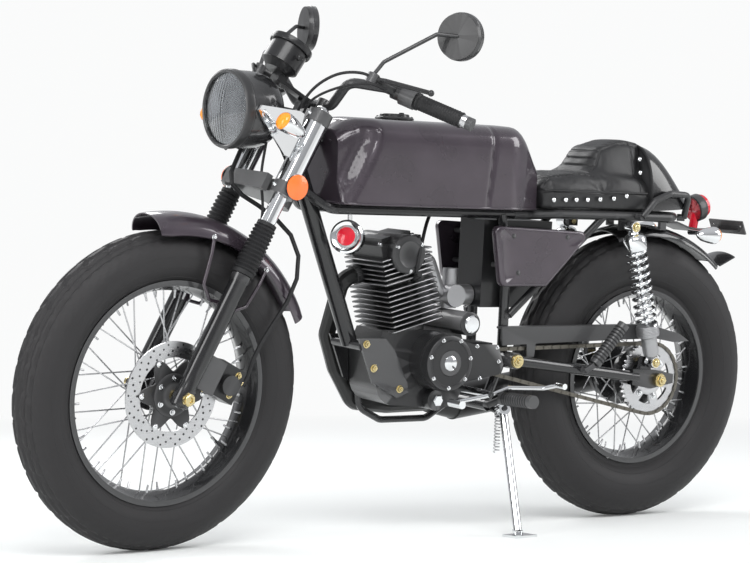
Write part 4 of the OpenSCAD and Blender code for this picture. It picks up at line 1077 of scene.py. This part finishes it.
face.done(DIAL, "black_plastic", "steering")
needle = Piece("speedometer_needle", FORK)
needle.tube([top + dial_dir * -1.6, top + dial_dir * -1.6 + Vector((-18, 22, -2))], 0.9, 6)
needle.lathe([(4, -3), (4, -1), (0, -0.6)], top, dial_dir, 20)
for k in range(25):
    a = math.radians(-125 + k * 250 / 24 + 180)
    p = top + dial_dir * -2.8 + Vector((36 * math.cos(a), 36 * math.sin(a), 36 * math.cos(a) * 0.105))
    q = top + dial_dir * -2.8 + Vector((31 * math.cos(a), 31 * math.sin(a), 31 * math.cos(a) * 0.105))
    needle.tube([p, q], 0.5, 5)
needle.done(IVORY, "black_plastic", "steering")


def indicator(name, space, at, facing, body, node, length, r):
    """A tapering bullet with its amber lens, and the mirrored one across the bike."""
    shell = Piece(name + "_shells", space)
    amber = Piece(name + "_lenses", space)
    ax = (facing, 0, 0)
    shell.lathe([(2, -length + 22), (r * 0.42, -length + 30), (r * 0.7, -length * 0.45),
        (r * 0.93, -length * 0.16),
                 (r, 0), (r, 8), (r * 0.96, 10), (r * 0.9, 10)], at, ax, 40, both=True)
    amber.lathe([(r * 0.93, 8), (r * 0.94, 11), (r * 0.8, 16), (r * 0.5, 20), (0, 21.5)], at, ax,
        40, both=True)
    shell.lathe([(7, 0), (6, 20), (6, 46)], (at[0] - facing * 18, at[1] - 62, at[2] + 4), (0, 1, 0),
        16, both=True)
    shell.done(CHROME, "chrome", body, [node], sharp=50)
    amber.done(AMBER, "lens_orange", body)


indicator("front_indicator", FORK, (104, 140, 600), 1, "steering", "front_indicators", 78, 21)
indicator("rear_indicator", BIKE, (-146, 118, 702), -1, "frame", "rear_indicators", 74, 21)
reflectors = Piece("fork_reflector_faces", FORK)
for s in (1, -1):
    reflectors.lathe([(27, 0), (27, 4.6), (25, 5.8), (0, 6.2)], (-6, s * 118, 505), (0, s, 0), 48)
reflectors.done(ORANGE_PAINTED_GLOW, "lens_orange", "steering", ["fork_reflectors"])
backs = Piece("fork_reflector_backs", FORK)
backs.lathe([(27.4, -1), (27.4, 2), (24, 2)], (-6, 117.6, 505), (0, 1, 0), 48, both=True)
backs.lathe([(6, -22), (6, 0)], (-6, 117.6, 505), (0, 1, 0), 16, both=True)
backs.done(PLASTIC, "black_plastic", "steering")

# ---------- Hand grips with ribs and bar ends ----------
grip = Piece("ribbed_grips", FORK)
G_IN, G_OUT = Vector((-97.5, 249, 775.4)), Vector((-155, 340, 769))
gd = (G_OUT - G_IN).normalized()
gl = (G_OUT - G_IN).length
prof = [(12, 0), (19, 0), (19, 4), (16.4, 6)]
for k in range(16):
    z0 = 8 + (gl - 16) * k / 16
    prof += [(16.4, z0), (17.2, z0 + 1.5), (17.2, z0 + 3.4), (16.4, z0 + 4.6)]
prof += [(16.6, gl - 4), (17.6, gl - 2), (17.0, gl), (12, gl)]
grip.lathe(prof, G_IN, gd, 36, both=True)
grip.done(RUBBER, "rubber", "steering", ["grips"], sharp=40)
bar_ends = Piece("bar_ends", FORK)
bar_ends.lathe([(11, -4), (14, 0), (14, 12), (12, 15), (0, 15.5)], G_OUT, gd, 32, both=True)
bar_ends.done(STEEL, "chrome", "steering", sharp=35)

# ---------- Chain, cables, stand spring, horn and small parts ----------


REAR_SPROCKET, FRONT_SPROCKET = (0, 349, 86), (497, 400, 26)


def belt_point(s):
    """A place along the chain's loop, s from 0 to 1: back to front above, and front to back below."""
    (x1, z1, r1), (x2, z2, r2) = REAR_SPROCKET, FRONT_SPROCKET
    d = math.hypot(x2 - x1, z2 - z1)
    slope = math.atan2(z2 - z1, x2 - x1)
    off = math.acos((r1 - r2) / d)
    straight = math.sqrt(d * d - (r1 - r2) ** 2)
    front_arc, rear_arc = r2 * 2 * off, r1 * (2 * math.pi - 2 * off)

    def on_circle(x, z, r, a):
        return x + r * math.cos(a), z + r * math.sin(a)

    def run(a, t):
        (ax, az), (bx, bz) = on_circle(x1, z1, r1, a), on_circle(x2, z2, r2, a)
        return ax + (bx - ax) * t, az + (bz - az) * t

    q = s * (2 * straight + front_arc + rear_arc)
    if q < straight:
        return run(slope + off, q / straight)
    q -= straight
    if q < front_arc:
        return on_circle(x2, z2, r2, slope + off - q / r2)
    q -= front_arc
    if q < straight:
        return run(slope - off, 1 - q / straight)
    q -= straight
    return on_circle(x1, z1, r1, slope - off - q / r1)


cables = Piece("control_cables", FORK)
cables.tube(smooth_path([(-20, 214, 768), (24, 196, 770), (52, 150, 748), (60, 104, 700),
    (34, 60, 640), (-30, 36, 600),
                         (-70, 30, 560)], 8), 3.2, 10)
cables.tube(smooth_path([(-24, 232, 762), (14, 214, 752), (40, 160, 724), (44, 96, 684),
    (10, 52, 640), (-40, 26, 600),
                         (-76, 20, 560)], 8), 2.8, 10)
cables.tube(smooth_path([(-20, -214, 768), (30, -190, 768), (56, -140, 742), (56, -92, 700),
    (24, -50, 640), (-40, -30, 590),
                         (-76, -22, 560)], 8), 3.2, 10)
cables.tube(smooth_path([(88, 10, 678), (74, 26, 640), (58, 40, 560), (40, 48, 500), (0, 50, 440),
    (-26, 46, 380)], 8), 3, 10)
cables.done(RUBBER, "rubber", "steering", sharp=60)

caliper_bolts = Piece("caliper_bolts", FORK)
for bx, bz in ((-41, 103), (-44, 41), (-112, 56), (-112, 102)):
    caliper_bolts.bolt((bx, 79, bz), (0, 1, 0), 6, 5)
caliper_bolts.lathe([(7, 0), (7, 8), (5, 9)], (-126, 70, 92), (-1, 0, 0), 20)
caliper_bolts.done(GOLD, "bolt_steel", "steering")

axle_end = Piece("front_axle_nut", FORK)
axle_end.lathe([(15, 109.3), (15, 112), (13, 113), (13, 120), (11.5, 121), (7, 121), (7, 117)],
    (0, 0, 0), (0, 1, 0), 6)
axle_end.done(GOLD, "bolt_steel", "steering")

clamp_bolts = Piece("clamp_bolts", FORK)
for s in (1, -1):
    for z0 in (492, 666):
        clamp_bolts.bolt((27, 88 * s, z0), (1, 0, 0), 5, 4)
    clamp_bolts.lathe([(15, 0), (15, 4), (12, 7), (0, 7.5)], (0, 88 * s, 684), (0, 0, 1), 6)
clamp_bolts.lathe([(13, 0), (13, 3), (10, 5), (0, 5.5)], (-57, 0, 680), (0, 0, 1), 6)
clamp_bolts.done(CHROME, "chrome", "steering")

TAIL = BIKE @ shift(-208, 0, 768) @ turn(-72, "Y")
tail = Piece("tail_light_lens", TAIL)
tail.lathe([(30, -4), (31, -2), (31, 2), (29.5, 5), (29.5, 7), (28.5, 8), (28, 11), (25, 14),
    (16, 16.2), (14, 15.4),
            (0, 16)], (0, 0, 0), (0, 0, 1), 56)
tail.done(RED, "lens_red", "frame")
tail_back = Piece("tail_light_back", TAIL)
tail_back.lathe([(31, -26), (34, -24), (34, -3), (32, 0), (30, 0)], (0, 0, 0), (0, 0, 1), 56)
tail_back.done(SATIN, "black_paint", "frame")

peg_rubber = Piece("peg_rubbers", BIKE)
for a, b, r in (((490, 137, 320), (490, 250, 326), 15), ((226, 142, 394), (150, 150, 488), 14)):
    a, b = Vector(a), Vector(b)
    d = (b - a).normalized()
    for k in range(int((b - a).length / 8.5) - 2):
        peg_rubber.lathe([(r - 0.5, 0), (r + 0.9, 1.2), (r + 0.9, 3.6), (r - 0.5, 5)],
            a + d * (10 + 8.5 * k),
                         d, 24, both=True)
peg_rubber.done(RUBBER, "rubber", "frame")

stand_spring = Piece("stand_spring", BIKE)
stand_spring.tube(helix((472, 98, 302), (496, 132, 196), 6.2, 15, per=12), 1.5, 6)
stand_spring.done(STEEL, "chrome", "side_stand")

HORN = BIKE @ shift(888, 66, 676) @ turn(40, "Z") @ turn(78, "Y")
horn = Piece("horn_ring", HORN)
horn.lathe([(36, 9), (37.5, 10), (37.5, 12), (33, 14), (30, 12), (26, 11), (36, 9)], (0, 0, 0),
    (0, 0, 1), 56)
horn.done(CHROME, "chrome", "frame")
# Painted glow: the horn's red middle uses the red lens finish, whose emission makes it glow though it is
# no lamp.
horn_middle = Piece("horn_middle", HORN)
horn_middle.lathe([(22, 13), (20, 16), (12, 17.5), (0, 18)], (0, 0, 0), (0, 0, 1), 40)
horn_middle.done(RED, "lens_red", "frame")

chain = Piece("chain_links", BIKE)
LINKS, LINK_R, CHAIN_Y = 106, 4.4, 81
spots = [belt_point(k / LINKS) for k in range(LINKS)]
for k in range(LINKS):
    start, end = spots[k], spots[(k + 1) % LINKS]
    slope = math.degrees(math.atan2(end[1] - start[1], end[0] - start[0]))
    outline = arc(*start, LINK_R, slope + 90, slope + 270, 4) + arc(*end, LINK_R, slope - 90,
        slope + 90, 4)
    out = 6.6 if k % 2 else 5
    chain.plate(outline, CHAIN_Y + out - 1.6, CHAIN_Y + out, 0.3)
    chain.plate(outline, CHAIN_Y - out, CHAIN_Y - out + 1.6, 0.3)
    chain.lathe([(2.4, 0), (2.4, 14.4)], (start[0], CHAIN_Y - 7.2, start[1]), (0, 1, 0), 8)
    chain.lathe([(4.2, 0), (4.2, 8)], (start[0], CHAIN_Y - 4, start[1]), (0, 1, 0), 10)
chain.done(DARKSTEEL, "chain_steel", "frame", ["drive_chain"], sharp=35)

# ---------- Pieces that keep their CAD solids ----------
KEPT = {
    BLACK: ("main_frame", "swingarm", "front_hub", "rear_hub"),
    SATIN: ("seat_frame", "fork_clamps", "headlight", "plate_bracket", "foot_pegs", "chain_guard",
    "grab_rail",
            "handlebar", "hand_controls", "mirrors", "rear_brake_plate", "brake_caliper"),
    CAST: ("engine_case", "engine_barrel", "engine_head"),
    PIPE: ("exhaust",),
    BODY: ("fuel_tank", "side_covers", "front_fender"),
    LEATHER: ("seat",),
    CHROME: ("rear_shocks", "fork_tubes", "foot_levers", "horn", "side_stand", "front_indicators",
             "rear_indicators"),
    GOLD: ("front_axle", "rear_axle"),
    STEEL: ("front_spokes", "rear_spokes"),
    DARKSTEEL: ("drive_chain",),
    ALLOY: ("carburettor",),
    RUBBER: ("grips", "fork_gaiters", "brake_hose"),
    TYRE: ("front_tyre", "rear_tyre"),
    PLASTIC: ("air_box", "fuel_cap", "seat_cowl", "rear_fender", "fork_sliders", "speedometer"),
    GLASS: ("headlight_lens",),
    RED: ("tail_light",),
    ORANGE_PAINTED_GLOW: ("fork_reflectors",),
}
for finish, names in KEPT.items():
    for name in names:
        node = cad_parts[name]
        node.data.materials.clear()
        node.data.materials.append(finish)
        smooth_shade(node, 32)

# ---------- Floor, backdrop and light ----------


def pale(name, color, strength):
    """The floor: plain to the light and the shadows, white to the camera."""
    m = bpy.data.materials.new(name)
    m.use_nodes = True
    b = m.node_tree.nodes["Principled BSDF"]
    b.inputs["Base Color"].default_value = [*color, 1]
    b.inputs["Roughness"].default_value = 0.9
    b.inputs["Specular IOR Level"].default_value = 0.1
    b.inputs["Emission Color"].default_value = [*color, 1]
    b.inputs["Emission Strength"].default_value = strength
    n, link = m.node_tree.nodes, m.node_tree.links
    where = n.new("ShaderNodeTexCoord")
    away = n.new("ShaderNodeVectorMath")
    away.operation = "LENGTH"
    fade = n.new("ShaderNodeMapRange")
    fade.inputs["From Min"].default_value = 2.2
    fade.inputs["From Max"].default_value = 5.0
    far = n.new("ShaderNodeEmission")
    far.inputs["Color"].default_value = (0.96, 0.965, 0.965, 1)
    both = n.new("ShaderNodeMixShader")
    link.new(where.outputs["Object"], away.inputs[0])
    link.new(away.outputs["Value"], fade.inputs["Value"])
    link.new(fade.outputs["Result"], both.inputs[0])
    link.new(b.outputs[0], both.inputs[1])
    link.new(far.outputs[0], both.inputs[2])
    link.new(both.outputs[0], n["Material Output"].inputs["Surface"])
    return m


floor_mesh = bpy.data.meshes.new("studio_floor")
floor_mesh.from_pydata([(-40, -40, 0), (40, -40, 0), (40, 40, 0), (-40, 40, 0)], [], [[0, 1, 2, 3]])
floor_mesh.materials.append(pale("studio_floor", (0.86, 0.875, 0.865), 0.08))
floor = bpy.data.objects.new("studio_floor", floor_mesh)
bpy.context.scene.collection.objects.link(floor)

world = bpy.data.worlds.new("studio")
bpy.context.scene.world = world
world.use_nodes = True
wn, wl = world.node_tree.nodes, world.node_tree.links
back = wn["Background"]
back.inputs["Strength"].default_value = 1.0
path = wn.new("ShaderNodeLightPath")
seen = wn.new("ShaderNodeBackground")
seen.inputs["Color"].default_value = (0.96, 0.965, 0.965, 1)
seen.inputs["Strength"].default_value = 1.0
tex = wn.new("ShaderNodeTexCoord")
split = wn.new("ShaderNodeSeparateXYZ")
ramp = wn.new("ShaderNodeValToRGB")
ramp.color_ramp.elements[0].position = 0.0
ramp.color_ramp.elements[0].color = (0.05, 0.05, 0.052, 1)
ramp.color_ramp.elements[1].position = 0.9
ramp.color_ramp.elements[1].color = (0.62, 0.63, 0.65, 1)
span = wn.new("ShaderNodeMapRange")
span.inputs["From Min"].default_value = -1
wl.new(tex.outputs["Generated"], split.inputs[0])
wl.new(split.outputs["Z"], span.inputs["Value"])
wl.new(span.outputs["Result"], ramp.inputs["Fac"])
wl.new(ramp.outputs["Color"], back.inputs["Color"])
mix = wn.new("ShaderNodeMixShader")
wl.new(path.outputs["Is Camera Ray"], mix.inputs[0])
wl.new(back.outputs[0], mix.inputs[1])
wl.new(seen.outputs[0], mix.inputs[2])
wl.new(mix.outputs[0], wn["World Output"].inputs["Surface"])

for name, at, size, watts in (
        ("key_softbox", (1.6, 3.2, 3.6), (3.0, 2.0), 130),
        ("front_softbox", (4.0, 0.6, 1.8), (1.6, 2.4), 60),
        ("rear_softbox", (-3.6, 2.2, 2.2), (1.6, 2.4), 60),
        ("far_softbox", (0.2, -3.4, 3.0), (3.0, 1.6), 70)):
    light = bpy.data.lights.new(name, "AREA")
    light.shape = "RECTANGLE"
    light.size, light.size_y = size
    light.energy = watts
    lamp = bpy.data.objects.new(name, light)
    lamp.location = at
    lamp.rotation_mode = "QUATERNION"
    lamp.rotation_quaternion = (Vector((0, 0, 0.5)) - Vector(at)).to_track_quat("-Z", "Y")
    bpy.context.scene.collection.objects.link(lamp)

bpy.context.scene.view_settings.view_transform = "Standard"
